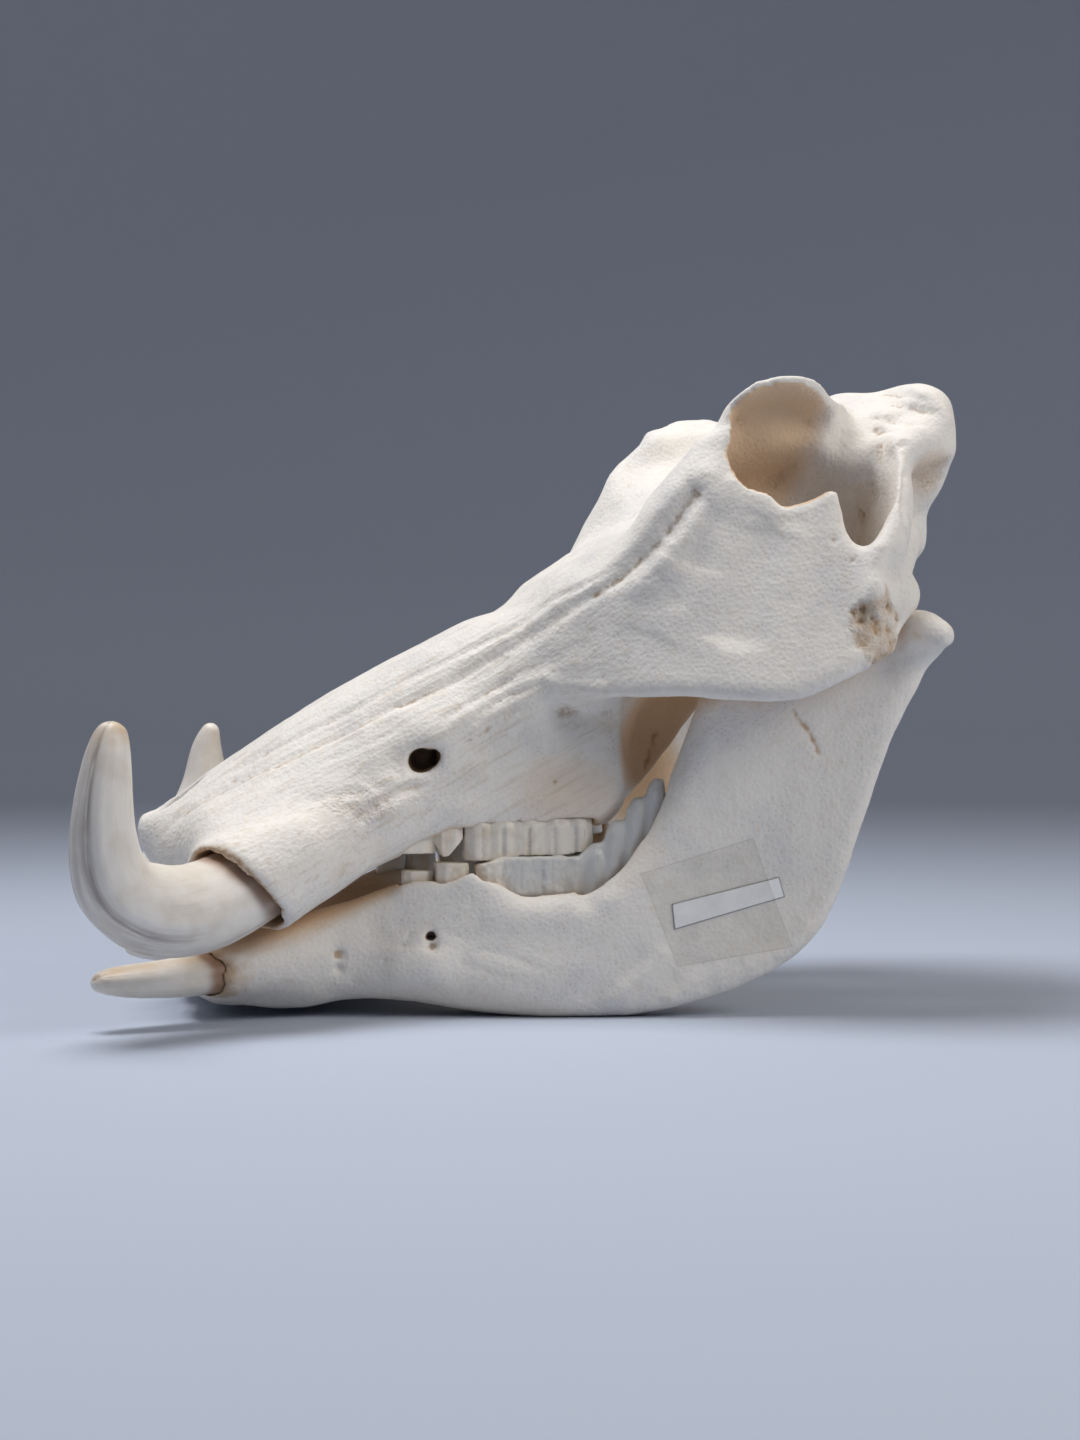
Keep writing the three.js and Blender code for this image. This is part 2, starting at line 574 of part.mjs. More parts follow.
/** An upright column with a blunt point, one of the unworn lobes at the back of a lower molar. */
function column([x, y, low, high], radius) {
  const rim = [[0, low], [radius, low], [radius, high - 5], [0.55 * radius, high - 0.8], [0, high]];
  const turned = new THREE.LatheGeometry(rim.map(([a, b]) => new THREE.Vector2(a, b)), 7);
  return turned.rotateX(Math.PI / 2).translate(x, y, 0);
}

const UPPER_TOP = 79;
const UPPER_WORN = BITE_Z + 0.3;
const UPPER_MOLAR = {
  from: -38, to: 11.6, inner: 29, outer: 44.5, low: UPPER_WORN, high: UPPER_TOP, lobes: 5, pinch: 1.3,
};
const UPPER_REAR = {
  from: -50.2, to: -38.8, inner: 31, outer: 43, low: UPPER_WORN, high: UPPER_TOP, lobes: 1, pinch: 0,
};
const UPPER_FRONT = { from: -65.5, to: -51.6, inner: 32, outer: 42, low: 63, high: 78, lobes: 1, pinch: 0 };
const LOWER_MOLAR = {
  from: -34, to: 9, inner: 35.5, outer: 50, low: 40, high: BITE_Z - 0.3, lobes: 4, pinch: 1,
};
const LOWER_REAR = {
  from: -49, to: -36.5, inner: 33.5, outer: 45.5, low: 40, high: 58.2, lobes: 1, pinch: 0,
};
const LOWER_FRONT = { from: -61, to: -50, inner: 31, outer: 41.5, low: 40, high: 55.2, lobes: 1, pinch: 0 };
const RISING_LOBES = [
  [10.5, 47.5, 42, 61], [17.5, 48.5, 46, 69.5], [25.4, 49.5, 54, 78], [33, 50.5, 64, 85.5],
];
// Seen from the side: the chipped premolar, and the slot in the ramus where the rising lobes stand.
const WEDGE = [[-50.2, 79], [-50.2, 66.5], [-46.8, 60.8], [-44.6, 60.8], [-38.8, 67.2], [-38.8, 79]];
const LOBE_BED = [[4, 41], [14, 41], [23, 45], [31, 53], [39, 63], [39, 92], [26, 92], [18, 82], [4, 74]];

/** The square bed that a crown stands in. */
function bedOf({ from, to, inner, outer, low, high }) {
  const sizes = [to - from, outer - inner, high - low].map((size) => size + 2 * FIT_GAP);
  const bed = new THREE.BoxGeometry(...sizes);
  return solidOf(bed.translate((from + to) / 2, (inner + outer) / 2, (low + high) / 2));
}

function lowerMolar() {
  const lobes = RISING_LOBES.map((lobe) => solidOf(column(lobe, 5)));
  return lobes.reduce((whole, lobe) => whole.add(lobe), solidOf(crown(LOWER_MOLAR)));
}

/** An outline of [x, z] points seen from the side, as a slab between two distances from the middle plane. */
function sideSlab(points, inner, outer) {
  const side = new THREE.Shape(points.map(([x, z]) => new THREE.Vector2(x, z)));
  const slab = new THREE.ExtrudeGeometry(side, { depth: outer - inner, bevelEnabled: false });
  return solidOf(slab.rotateX(Math.PI / 2).translate(0, outer, 0));
}

const CHEEK_TEETH = {
  upper_front_premolar: [solidOf(crown(UPPER_FRONT)), bedOf(UPPER_FRONT)],
  upper_rear_premolar: [solidOf(crown(UPPER_REAR)).intersect(sideSlab(WEDGE, 20, 50)), bedOf(UPPER_REAR)],
  upper_molar: [solidOf(crown(UPPER_MOLAR)), bedOf(UPPER_MOLAR)],
  lower_front_premolar: [solidOf(crown(LOWER_FRONT)), bedOf(LOWER_FRONT)],
  lower_rear_premolar: [solidOf(crown(LOWER_REAR)), bedOf(LOWER_REAR)],
  lower_molar: [lowerMolar(), bedOf(LOWER_MOLAR).add(sideSlab(LOBE_BED, 42, 56))],
};

// Sockets, nerve holes and the flats of the jaw

const leftOf = (solid) => solid.mirror([0, 1, 0]);
const hole = (radius, length, x, y, z) =>
  solidOf(new THREE.CylinderGeometry(radius, radius, length, 8).rotateZ(0.5).translate(x, y, z));

const upperSockets = [
  solidOf(tusk(LEFT_UPPER, { ...LEFT_UPPER_SHAPE, ...COARSE }, mouthGap)),
  solidOf(tusk(RIGHT_UPPER, { ...RIGHT_UPPER_SHAPE, ...COARSE }, mouthGap)),
];
const lowerSockets = [
  solidOf(tusk(LEFT_LOWER, { ...LEFT_LOWER_SHAPE, ...COARSE }, evenGap)),
  solidOf(tusk(RIGHT_LOWER, { ...RIGHT_LOWER_SHAPE, ...COARSE }, evenGap)),
];
const nerveHoles = [hole(2.2, 24, -53, 52, 28), hole(1.8, 24, -88, 48, 20)];
lowerSockets.push(...nerveHoles, ...nerveHoles.map(leftOf));
for (const [name, [, socket]] of Object.entries(CHEEK_TEETH)) {
  const sockets = name.startsWith("upper") ? upperSockets : lowerSockets;
  sockets.push(socket, leftOf(socket));
}
lowerSockets.push(solidOf(new THREE.BoxGeometry(400, 300, 40).translate(0, 0, REST_Z - 20)));

const craniumBone = upperSockets.reduce((bone, socket) => bone.subtract(socket), craniumWhole);
const jawBone = lowerSockets.reduce((bone, socket) => bone.subtract(socket), jawWhole);

// Card and tape on the left side of the jaw, as leaves that follow the bone

/** How far the jaw's outer face stands from the middle plane at a place seen from the side. */
function jawFace(x, z) {
  let [inside, outside] = [JAW_MIDDLE(x), 110];
  for (let i = 0; i < 20; i++) {
    const y = (inside + outside) / 2;
    if (lowerJaw(x, y, z) < 0) inside = y;
    else outside = y;
  }
  return inside;
}

/** A leaf over the jaw between four [x, z] corners, from under the bone's face up to a height above it. */
function leaf([p, q, r, s], height, grow = 0) {
  const sheet = new THREE.BoxGeometry(1, 1, 1, 5, 3, 1);
  const spots = sheet.attributes.position;
  const mix = (a, b, t) => a + (b - a) * t;
  const size = [Math.hypot(q[0] - p[0], q[1] - p[1]), Math.hypot(r[0] - p[0], r[1] - p[1])];
  for (let i = 0; i < spots.count; i++) {
    const u = 0.5 + spots.getX(i) * (1 + (2 * grow) / size[0]);
    const v = 0.5 + spots.getY(i) * (1 + (2 * grow) / size[1]);
    const [x, z] = [0, 1].map((k) => mix(mix(p[k], q[k], u), mix(r[k], s[k], u), v));
    spots.setXYZ(i, x, -jawFace(x, z) - (spots.getZ(i) > 0 ? height : -2), z);
  }
  return solidOf(sheet);
}

const CARD_CORNERS = [[36.7, 33.7], [78.7, 45.6], [35.9, 43.3], [76.7, 53.1]];
const TAPE_CORNERS = [[37.8, 19.9], [81, 27], [24.4, 54.7], [66.9, 67.9]];
const jawSkin = jawBone.translate([0, -LEAF_GAP, 0]);
const card = leaf(CARD_CORNERS, 1.1).subtract(jawSkin);
const tape = leaf(TAPE_CORNERS, 2).subtract(jawSkin).subtract(leaf(CARD_CORNERS, 1.1 + LEAF_GAP, 0.4));

// The pieces

const BONE = { color: 0xeae4da, roughness: 0.75, metalness: 0 };
const IVORY = { color: 0xe6d9bf, roughness: 0.4, metalness: 0 };
const ENAMEL = { color: 0xcfc4ae, roughness: 0.5, metalness: 0 };
const PAPER = { color: 0xf2f0ea, roughness: 0.8, metalness: 0 };
const FILM = { color: 0xe4e2d8, roughness: 0.2, metalness: 0 };

const skull = new THREE.Group();
function addPiece(name, geometry, finish) {
  const mesh = new THREE.Mesh(geometry, new THREE.MeshStandardMaterial(finish));
  mesh.name = name;
  skull.add(mesh);
}

addPiece("cranium", geometryFrom(craniumBone), BONE);
addPiece("lower_jaw", geometryFrom(jawBone), BONE);
addPiece("left_upper_tusk", tusk(LEFT_UPPER, LEFT_UPPER_SHAPE), IVORY);
addPiece("right_upper_tusk", tusk(RIGHT_UPPER, RIGHT_UPPER_SHAPE), IVORY);
addPiece("left_lower_tusk", tusk(LEFT_LOWER, LEFT_LOWER_SHAPE), IVORY);
addPiece("right_lower_tusk", tusk(RIGHT_LOWER, RIGHT_LOWER_SHAPE), IVORY);
for (const [name, [tooth]] of Object.entries(CHEEK_TEETH)) {
  addPiece(`left_${name}`, geometryFrom(leftOf(tooth)), ENAMEL);
  addPiece(`right_${name}`, geometryFrom(tooth), ENAMEL);
}
addPiece("label_card", geometryFrom(card), PAPER);
addPiece("label_tape", geometryFrom(tape), FILM);

// The origin is under the middle of the whole skull, on the surface that it stands on.
const reach = new THREE.Box3().setFromObject(skull);
const centre = reach.getCenter(new THREE.Vector3());
skull.position.set(-centre.x, -centre.y, -reach.min.z);

export default skull;
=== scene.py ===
import math

import bpy
import numpy as np
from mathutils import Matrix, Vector, noise
from mathutils.bvhtree import BVHTree
from mathutils.kdtree import KDTree


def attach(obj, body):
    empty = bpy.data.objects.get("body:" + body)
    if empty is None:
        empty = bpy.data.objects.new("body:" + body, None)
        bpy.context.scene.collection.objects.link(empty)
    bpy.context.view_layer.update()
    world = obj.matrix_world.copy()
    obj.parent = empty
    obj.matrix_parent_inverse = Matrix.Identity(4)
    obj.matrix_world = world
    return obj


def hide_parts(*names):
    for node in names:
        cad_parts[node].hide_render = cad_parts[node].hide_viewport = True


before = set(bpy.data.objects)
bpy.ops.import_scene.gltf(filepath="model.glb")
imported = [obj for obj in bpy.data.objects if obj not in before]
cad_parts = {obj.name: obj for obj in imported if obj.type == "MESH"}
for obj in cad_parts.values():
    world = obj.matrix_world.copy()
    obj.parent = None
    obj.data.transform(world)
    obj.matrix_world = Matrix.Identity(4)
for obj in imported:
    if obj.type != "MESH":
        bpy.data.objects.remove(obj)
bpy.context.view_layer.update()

MM = 0.001  # one millimetre in Blender's metres; shapes below are measured in millimetres
SIDES = ("left", "right")
MIRROR = {"left": 1, "right": -1}  # places are given on the animal's left, at -Y, and mirrored

# ---------------------------------------------------------------- what the bones show
# Each line on a bone: what it is, half its width, how deep it is pressed in (raised where it is negative),
# how much soil it holds from 0 to 1, and the places it runs through on the left side.

CRANIUM_LINES = (
    ("facial groove, upper", 4, 1.6, 0.04, (
        (62.5, -66.1, 203.4), (57.7, -66.4, 198), (51.4, -66.6, 190.4), (45.5, -65.4, 182.9),
        (40.8, -62.9, 175.5), (36.2, -60, 171.6), (31, -57.4, 167.5), (23.1, -53.1, 160.9),
    )),
    ("tear fossa", 5, 2, 0.05, (
        (59.2, -66.6, 198.8), (53.7, -66.7, 192.7), (48.4, -66.3, 185.9), (43.5, -64.6, 178.5),
    )),
    ("facial groove, middle", 2.2, 1.3, 0.1, (
        (36.2, -60, 171.6), (23.1, -53.1, 160.9), (9, -47.1, 152), (-10.4, -37.8, 137.8),
        (-22.8, -35.9, 130.5), (-33.7, -36.3, 124), (-56.8, -35.1, 114.5),
    )),
    ("facial groove, front", 1.8, 1.2, 0.16, (
        (-33.7, -36.3, 124), (-56.8, -35.1, 114.5), (-75.4, -34.9, 104.3), (-93.6, -33.3, 96.1),
        (-108.3, -31, 89.4), (-119.8, -30, 83.4), (-136.2, -23.9, 71.7), (-141.6, -19.4, 66.6),
    )),
    ("nasal seam", 1.3, 0.9, 0.14, (
        (39.6, -61.7, 178.6), (29.6, -55.2, 170.7), (20.5, -49.5, 164.1), (1.8, -37.1, 153.2),
        (-20.8, -31.3, 139.8), (-44.5, -29.6, 128.3), (-67.7, -28.3, 115.3), (-90.6, -25.5, 103.9),
        (-113.3, -21.5, 91.8), (-132.6, -19.5, 78.6),
    )),
    ("seam between", 1, 0.45, 0.12, (
        (22.6, -52.2, 163.2), (4.5, -42.8, 151.8), (-20.2, -34.3, 135.9), (-47, -33, 122.5),
        (-73.5, -31.7, 108.5), (-99.5, -27.5, 96.8),
    )),
    ("nasal fine line", 0.9, 0.3, 0.05, (
        (9.2, -42.8, 159.8), (-11.2, -28.1, 148.9), (-38.3, -26.8, 134.1), (-65.1, -25.3, 119.9),
        (-91.2, -19.7, 107.3),
    )),
    ("fibre 1", 1, 0.5, 0.1, (
        (53.8, -66.3, 194.2), (44.1, -64.9, 180.3), (32, -58.2, 166.7), (15.2, -50.4, 154.2),
        (-2.1, -40.9, 141.5),
    )),
    ("fibre 2", 1, -0.5, 0, (
        (26.8, -54.3, 166.2), (8.6, -45.4, 155.1), (-9.5, -35.3, 142.5), (-29.7, -33.4, 130.9),
        (-50.8, -32.7, 121),
    )),
    ("fibre 3", 0.9, 0.45, 0.1, (
        (8.2, -47.5, 148.2), (-6, -40.9, 136.9), (-20.8, -37.9, 127.8), (-36.4, -38.8, 118.7),
        (-52.4, -38.6, 111.9),
    )),
    ("fibre 4", 0.9, 0.4, 0.08, (
        (-24.9, -38.9, 121), (-42.4, -40.8, 112.6), (-59.6, -41.3, 104.4), (-78.5, -42.5, 96.2),
        (-93.3, -42.4, 90.3),
    )),
    ("fibre 5", 0.9, -0.45, 0, (
        (-43.7, -36.9, 118.7), (-62.7, -36.7, 109.6), (-81.5, -36.1, 100.6), (-100.1, -35.2, 91.7),
        (-116.5, -36.5, 82.9),
    )),
    ("fibre 6", 0.9, 0.4, 0.08, (
        (-78.2, -39.8, 99.1), (-93.9, -40.1, 91.8), (-109.5, -41.1, 83.7), (-124.3, -43.7, 74.4),
        (-132.5, -34.2, 67.3),
    )),
    ("fibre 7", 0.9, 0.35, 0.06, (
        (-89.6, -41.7, 92.5), (-103.7, -43, 85.2), (-117.1, -45.4, 77.3), (-126.6, -46.2, 69.4),
    )),
    ("fibre 8", 0.8, 0.35, 0.06, (
        (-112.9, -37, 84.3), (-124.1, -40.7, 77.2), (-133.2, -31.3, 69.4),
    )),
    ("fibre 9", 0.9, 0.4, 0.06, (
        (18.2, -54.3, 141.2), (4.9, -48.3, 134.5), (-7.9, -42.8, 127.8), (-19.6, -39.7, 121),
    )),
    ("fibre 10", 0.9, -0.4, 0, (
        (21.3, -57.4, 135.5), (8.1, -51.1, 130.7), (-3.7, -45, 124.7), (-15.3, -41.1, 117.2),
        (-26.3, -42.4, 108.8),
    )),
    ("lip swell", 6, -1, 0, (
        (-122.8, -73.8, 65.1), (-112, -70, 69), (-99.1, -64.8, 72.9), (-88, -62.6, 74.1),
    )),
    ("tear ridge", 4.5, -1.6, 0, (
        (71.9, -47.9, 210.3), (59.7, -67.5, 196.5), (53.2, -68.4, 185), (46.7, -66.9, 173.8),
        (39.1, -63.4, 164.3), (29.5, -58.7, 156.2),
    )),
    ("face crease", 2.4, 1.5, 0.25, (
        (-72.2, -58.1, 73.8), (-65.8, -54.6, 78.7), (-60.4, -53, 81.5), (-53.5, -51.2, 84.8),
        (-47.7, -50.1, 86.6), (-41.9, -49.5, 87.6),
    )),
    ("face crease, low", 2, 0.7, 0.1, (
        (-90.7, -52.9, 81.8), (-76, -52.8, 83.5), (-63.9, -51.5, 85.2), (-54.1, -50.1, 87.7),
    )),
    ("canal funnel", 5, 1.3, 0.08, (
        (-51.1, -45.4, 95.4), (-58.6, -48, 92.5), (-67.5, -49.9, 88.2),
    )),
    ("ray 1", 1.1, 1, 0.12, (
        (-37.3, -44.2, 102.8), (-25.4, -42, 110.3), (-11.9, -41.5, 118.7), (0.5, -47.1, 124.7),
    )),
    ("ray 2", 1.1, 1, 0.12, (
        (-35.2, -45.1, 99.1), (-19.7, -41.9, 108.1), (-6.4, -43, 115.6), (5.9, -50.8, 122.4),
    )),
    ("ray 3", 1, 0.9, 0.1, (
        (-38.7, -43.3, 106.2), (-29.2, -41.4, 114.1), (-16.6, -40.1, 121.7), (-6.5, -43.4, 127.8),
    )),
    ("ray 4", 1, 0.5, 0.06, (
        (-31.9, -46.4, 95.3), (-14.1, -43.2, 104.3), (1.1, -44.3, 111.9),
    )),
    ("cheek root edge", 2.2, -1.1, 0, (
        (-1.1, -45.4, 127.8), (4.9, -50, 125.1), (14.3, -54.7, 123.1), (22.5, -60.5, 121.9),
    )),
    ("cheek valley", 9, 2.1, 0, (
        (82.4, -77.1, 187.4), (77.2, -78.9, 174.9), (71.7, -81.4, 159.1), (67.3, -83.2, 145.7),
        (63.8, -84.6, 135),
    )),
    ("cheek swell", 12, -1.2, 0, (
        (52.9, -69.7, 170.7), (46, -69.2, 155.8), (37.9, -67.9, 140.9),
    )),
    ("cheek seam", 0.9, 0.35, 0.12, (
        (64, -71.4, 185.7), (54.7, -70, 175.2), (46.5, -67.5, 167.1), (35.7, -61.7, 161.7),
    )),
    ("temple fold 1", 2.6, 0.6, 0, (
        (131.7, -35.4, 206.9), (132.3, -38.2, 197.9), (132.2, -42.9, 189.6),
    )),
    ("temple fold 2", 2.2, 0.5, 0, (
        (135, -44.4, 209.1), (133.6, -50.3, 198.7), (132.6, -50.6, 192),
    )),
    ("brain wrinkle 1", 1.4, 0.9, 0.1, (
        (142.8, -14.8, 241.5), (149.7, -18, 243.3), (151.9, -41.6, 239.1), (158.2, -49.9, 234.9),
    )),
    ("brain wrinkle 2", 1.4, 0.9, 0.1, (
        (138, -29.6, 234.8), (145.4, -32.4, 237), (150.4, -48.4, 234.5), (160.8, -52.5, 229.9),
    )),
    ("brain wrinkle 3", 1.4, 1, 0.12, (
        (136.9, -34.9, 229.3), (139.2, -44.3, 230.4), (146, -52.1, 230), (151.8, -55.3, 227.7),
    )),
    ("brain wrinkle 4", 1.4, 0.9, 0.1, (
        (136.5, -38.2, 223.3), (137.6, -50.4, 224.9), (140.8, -55, 225.9),
    )),
    ("wing crack", 0.9, 0.8, 0.9, (
        (52.1, -27, 108.7), (48.8, -27, 99.3), (46.6, -26.2, 89.5),
    )),
    ("cheek ripple 1", 5, -0.6, 0, (
        (92.2, -80.4, 185.4), (86.6, -83.2, 170.3), (81.8, -86.1, 155.3),
    )),
    ("cheek ripple 2", 4, 0.8, 0, (
        (63.1, -69.3, 193.4), (58.6, -71.4, 178.2), (52.5, -71, 163.2), (44.4, -69.6, 150.2),
    )),
    # The strut's edge and tip are pressed in, and their soil is painted shade that parts the strut from the
    # bone behind it.
    ("strut edge", 2, 1.6, 0.12, (
        (138.5, -72.2, 209.1), (135.9, -78.8, 201.5), (133.1, -83.6, 193.4), (131.2, -87.4, 184.8),
        (131.5, -87.8, 176.2),
    )),
    ("strut tip", 1.6, 1.3, 0.1, (
        (135.4, -66.6, 214.3), (137.5, -64.5, 218), (140.2, -63.7, 219.4), (141, -66.8, 215.9),
    )),
    ("socket rim", 1.3, 0.4, 0.8, (
        (-129.9, -61.1, 61.9), (-129.4, -64.8, 63.6), (-125.5, -70.9, 66), (-118.8, -76.7, 64.5),
        (-112.4, -80.3, 58.3), (-107, -78.6, 51.4), (-101.4, -75.3, 44.6), (-98.1, -69.5, 39.4),
    )),
    ("crest edge", 3, -0.9, 0, (
        (153.2, -31, 243.1), (157.4, -46.6, 238.5), (162.5, -50.6, 231.8), (163.4, -52.2, 223.8),
    )),
)
JAW_LINES = (
    ("muscle ridge 1", 3.2, -1, 0, (
        (19.4, -62.2, 2.9), (27.1, -65.2, 9.8), (34.4, -66.8, 15.8), (41.1, -67.6, 20.9), (46.4, -68, 26.8),
    )),
    ("muscle hollow 1", 4, 0.8, 0, (
        (8.9, -61.3, 6.8), (19.9, -63.5, 12.8), (30.8, -65.8, 19.5), (37.4, -66.8, 26.9),
    )),
    ("muscle ridge 2", 3, -0.9, 0, (
        (42, -67.1, 4.8), (49.9, -69.4, 9.7), (58.9, -70.2, 14.8), (66.5, -70.8, 19.9),
    )),
    ("muscle hollow 2", 3.6, 0.7, 0, (
        (31.2, -64.4, 2.9), (39.8, -68.2, 8.4), (50, -69, 14.9),
    )),
    ("muscle ridge 3", 2.8, -0.9, 0, (
        (63, -69.4, 9.4), (71, -71.4, 14.7), (79.2, -72.5, 20.6), (87, -72.8, 27.2),
    )),
    ("muscle hollow 3", 3.2, 0.7, 0, (
        (56.9, -69.3, 8.8), (65.6, -71.2, 14.8), (74, -71.8, 20.6),
    )),
    ("muscle ridge 4", 2.4, -0.8, 0, (
        (85, -72.8, 21.2), (92.6, -73.4, 28.6), (99.2, -73.7, 36.8),
    )),
    ("ramus crack", 0.8, 0.5, 0.7, (
        (91.3, -71.5, 116.7), (93.9, -71.9, 112.6), (96.6, -72.4, 108.8), (99.5, -72.9, 104.7),
        (101.8, -73.3, 100.6), (102.5, -73.4, 96.1),
    )),
    ("body line 1", 1.1, 0.45, 0.1, (
        (-55.7, -45.9, 33.5), (-49.1, -47.4, 34.2), (-41.2, -49.7, 33.6), (-34, -51.7, 31.4),
        (-27.4, -52.8, 29.1),
    )),
    ("body line 2", 1, 0.4, 0.1, (
        (-60.3, -46.3, 27.3), (-53.1, -48.5, 27), (-44, -50.6, 26.6), (-36.7, -51.9, 27.7),
    )),
    ("body line 3", 1.3, 0.4, 0.06, (
        (-27.4, -52.8, 25.4), (-18.4, -55.3, 24.3), (-7.5, -57.9, 21), (-0.2, -59.5, 17.3),
    )),
    ("body line 4", 1.2, 0.35, 0.05, (
        (-32.9, -51.9, 20.9), (-20.2, -54.8, 17.2), (-9.3, -57.5, 13.5),
    )),
    ("body bulge", 9, -1.2, 0, (
        (-27.2, -52.1, 42.1), (-12.9, -56.5, 38.5), (1.6, -59.6, 38.5), (16.5, -61.4, 42.1),
    )),
    ("premolar margin", 1.6, 0.8, 0.3, (
        (-52.6, -40.3, 47.9), (-47.7, -43, 48.8), (-41.1, -44.3, 50.3), (-33.2, -33.2, 49.4),
    )),
)
# The same for the top and the back, as such skulls have them.
TOP_AND_BACK_LINES = (
    ("middle seam", 0.9, 0.3, 0.08, (
        (-132, -0.4, 82), (-100, -0.4, 102), (-50, -0.4, 132), (0, -0.4, 164), (40, -0.4, 194),
        (66, -0.4, 216),
    )),
    ("brow groove", 2.4, 1.1, 0.06, (
        (60, -22, 216), (46, -21, 204), (30, -20, 192), (12, -19, 178), (-8, -18, 162),
    )),
    ("forehead hollow", 14, 1.4, 0, ((48, -8, 206), (72, -6, 222), (92, -4, 234))),
    ("brow seam", 0.9, 0.4, 0.1, ((20, -1, 180), (24, -10, 182), (21, -20, 180), (25, -29, 178))),
    ("nape ridge", 4, -0.6, 0, ((180, -1, 228), (178, -1, 214), (174, -1, 200), (170, -1, 188))),
    ("nape hollow", 9, 1.7, 0.05, ((180, -16, 222), (176, -17, 208), (172, -18, 196))),
    ("nape scar 1", 1.5, 0.7, 0.15, ((180, -34, 226), (180, -24, 219), (180, -10, 216))),
    ("nape scar 2", 1.4, 0.6, 0.15, ((178, -36, 214), (177, -26, 207), (176, -12, 203))),
    ("nape scar 3", 1.3, 0.5, 0.12, ((176, -32, 204), (175, -24, 197), (174, -14, 194))),
    ("condyle groove", 1.8, 0.9, 0.2, ((172, -15, 184), (170, -20, 176), (166, -19, 166), (162, -14, 158))),
)

# Where a form stands differently from the plain solid: what it is, how far the change reaches, how far it is
# moved, and the places it runs through on the left side; then the side, where it is on one side only.
CRANIUM_MOVES = (
    ("nose tip", 12, (-3, 0, 7), ((-142, -8, 64), (-144, 0, 62))),
    ("nose bridge", 9, (0, 0, 2.4), ((-142, -5, 70), (-134, -6, 77))),
    ("brain case top", 14, (0, 0, 2.6), ((124, -20, 237), (134, 0, 241))),
    ("brain case side", 12, (0, -15, 0), ((117, -29, 215), (124, -30, 210), (130, -33, 207))),
    ("brain case back", 9, (0, -8, 0), ((131, -30, 230), (133, -33, 221))),
    ("crest wing", 9, (1, 8, 0), ((140, -55, 228), (147, -53, 233))),
    ("crest underside", 8, (-5, 3, 2), ((163, -47, 206), (160, -42, 199), (158, -38, 193))),
    ("front eye rim", 6, (7, -1, 0), ((64, -60, 222), (65, -63, 213), (67, -67, 205))),
    ("right brow", 16, (-5.5, 0, 3.5), ((54, -45, 217),), "right"),
    ("right brow top", 10, (-3, 0, 3), ((64, -52, 228), (70, -54, 232)), "right"),
    ("forehead slope", 13, (1.5, 0, -2.4), ((-4, -10, 160), (10, -10, 171), (24, -10, 183))),
    ("brow top", 7, (0, 0, 1.6), ((84, -66, 238), (96, -66, 241), (106, -63, 238))),
    ("eye bowl roof", 10, (0, 7, 4), ((78, -57, 224), (88, -58, 228), (98, -57, 228), (106, -52, 226))),
    ("low eye rim", 5.5, (1, 0, 5.5), ((70, -71, 198), (75, -73, 194), (80, -75, 191))),
    ("rim notch 1", 2.6, (0, 0, -1.6), ((73, -71, 203),)),
    ("rim notch 2", 3, (0, 0, -2), ((85, -76, 193),)),
    ("rim point 1", 4, (0, 0, 1.5), ((92, -79, 193),)),
    ("rim point 2", 4, (1.5, -0.5, 3), ((102, -81, 196),)),
    ("cheek root hollow", 7, (0, 5, 0), ((12, -49, 116), (20, -51, 115), (28, -47, 114))),
    ("face side, upper", 10, (0, -4.5, 0), ((-40, -43, 106), (-22, -41, 112), (-8, -42, 116))),
    ("face side, lower", 9, (0, 3, 0), ((-34, -46, 84), (-8, -49, 84), (16, -49, 86))),
    ("cheek knuckle", 10, (-4, 5, 0), ((128, -95, 163), (128, -97, 155))),
    ("cheek rear end", 9, (-2, 1, 0), ((128, -93, 147),)),
    ("cheek rear fill", 8, (0, -3.5, 0), ((117, -91, 173), (118, -92, 164), (119, -93, 155))),
    ("gum edge", 4.5, (0, 0.6, -3), ((-26, -48, 73), (-4, -49, 73), (20, -48, 74))),
)
# Where a thin bar is thinner than the solid: what it is, its reach, the share taken off and its middle line.
CRANIUM_PINCHES = (
    ("strut", 12, 0.72, (
        (139, -60, 219), (136, -70, 208), (133, -77, 201), (130, -82, 193), (127, -86, 186),
    )),
)
JAW_MOVES = (
    ("premolar gum", 5, (0, 0, 3.5), ((-50, -45, 46), (-36, -48, 45), (-24, -51, 45))),
    ("molar gum", 6, (0, -0.5, 5), ((-26, -51, 45), (-18, -52, 44))),
    ("body swell", 12, (0, -3, 0), ((-52, -49, 18), (-22, -54, 16), (10, -58, 16))),
    ("hinge corner", 15, (-2, 0, 7), ((124, -84, 148), (132, -84, 144), (138, -84, 138))),
    ("hinge outer face", 9, (0, 5, 0), ((126, -92, 150), (133, -90, 146))),
)

# Painted shade, in part the warm tan of bone that never saw the sun, in the walls round a hollow: the
# hollow's middle, half-sizes and strength, which is negative where the tint is taken off the walls again.
CRANIUM_SHADE = (
    ((86, -59, 211), (46, 50, 46), 0.74),  # the eye socket
    ((75, -58, 219), (5, 6, 6), 1.0),  # its front corner
    ((58, -48, 100), (31, 42, 42), 1.3),  # behind the upper jaw
    ((10, -76, 84), (56, 46, 40), 0.52),  # the side of the face
    ((160, -66, 200), (26, 40, 24), 0.55),  # below the crest
    ((-75, -62, 56), (44, 26, 22), 0.4),  # below the snout
    ((122, -62, 200), (30, 46, 34), -0.5),  # the temple
)
JAW_SHADE = (
    ((72, -24, 88), (44, 48, 50), 1.0),  # between the upright branches
    ((34, -66, 60), (18, 16, 18), 0.35),  # in front of the branch
    ((-60, -4, 50), (58, 32, 34), 0.9),  # the mouth
    ((0, -14, 34), (60, 40, 34), 0.7),  # the tongue's space
    ((-40, -56, -8), (90, 40, 30), 0.4),  # the lower border
    ((134, -98, 158), (26, 26, 26), -0.9),  # the hinge
)
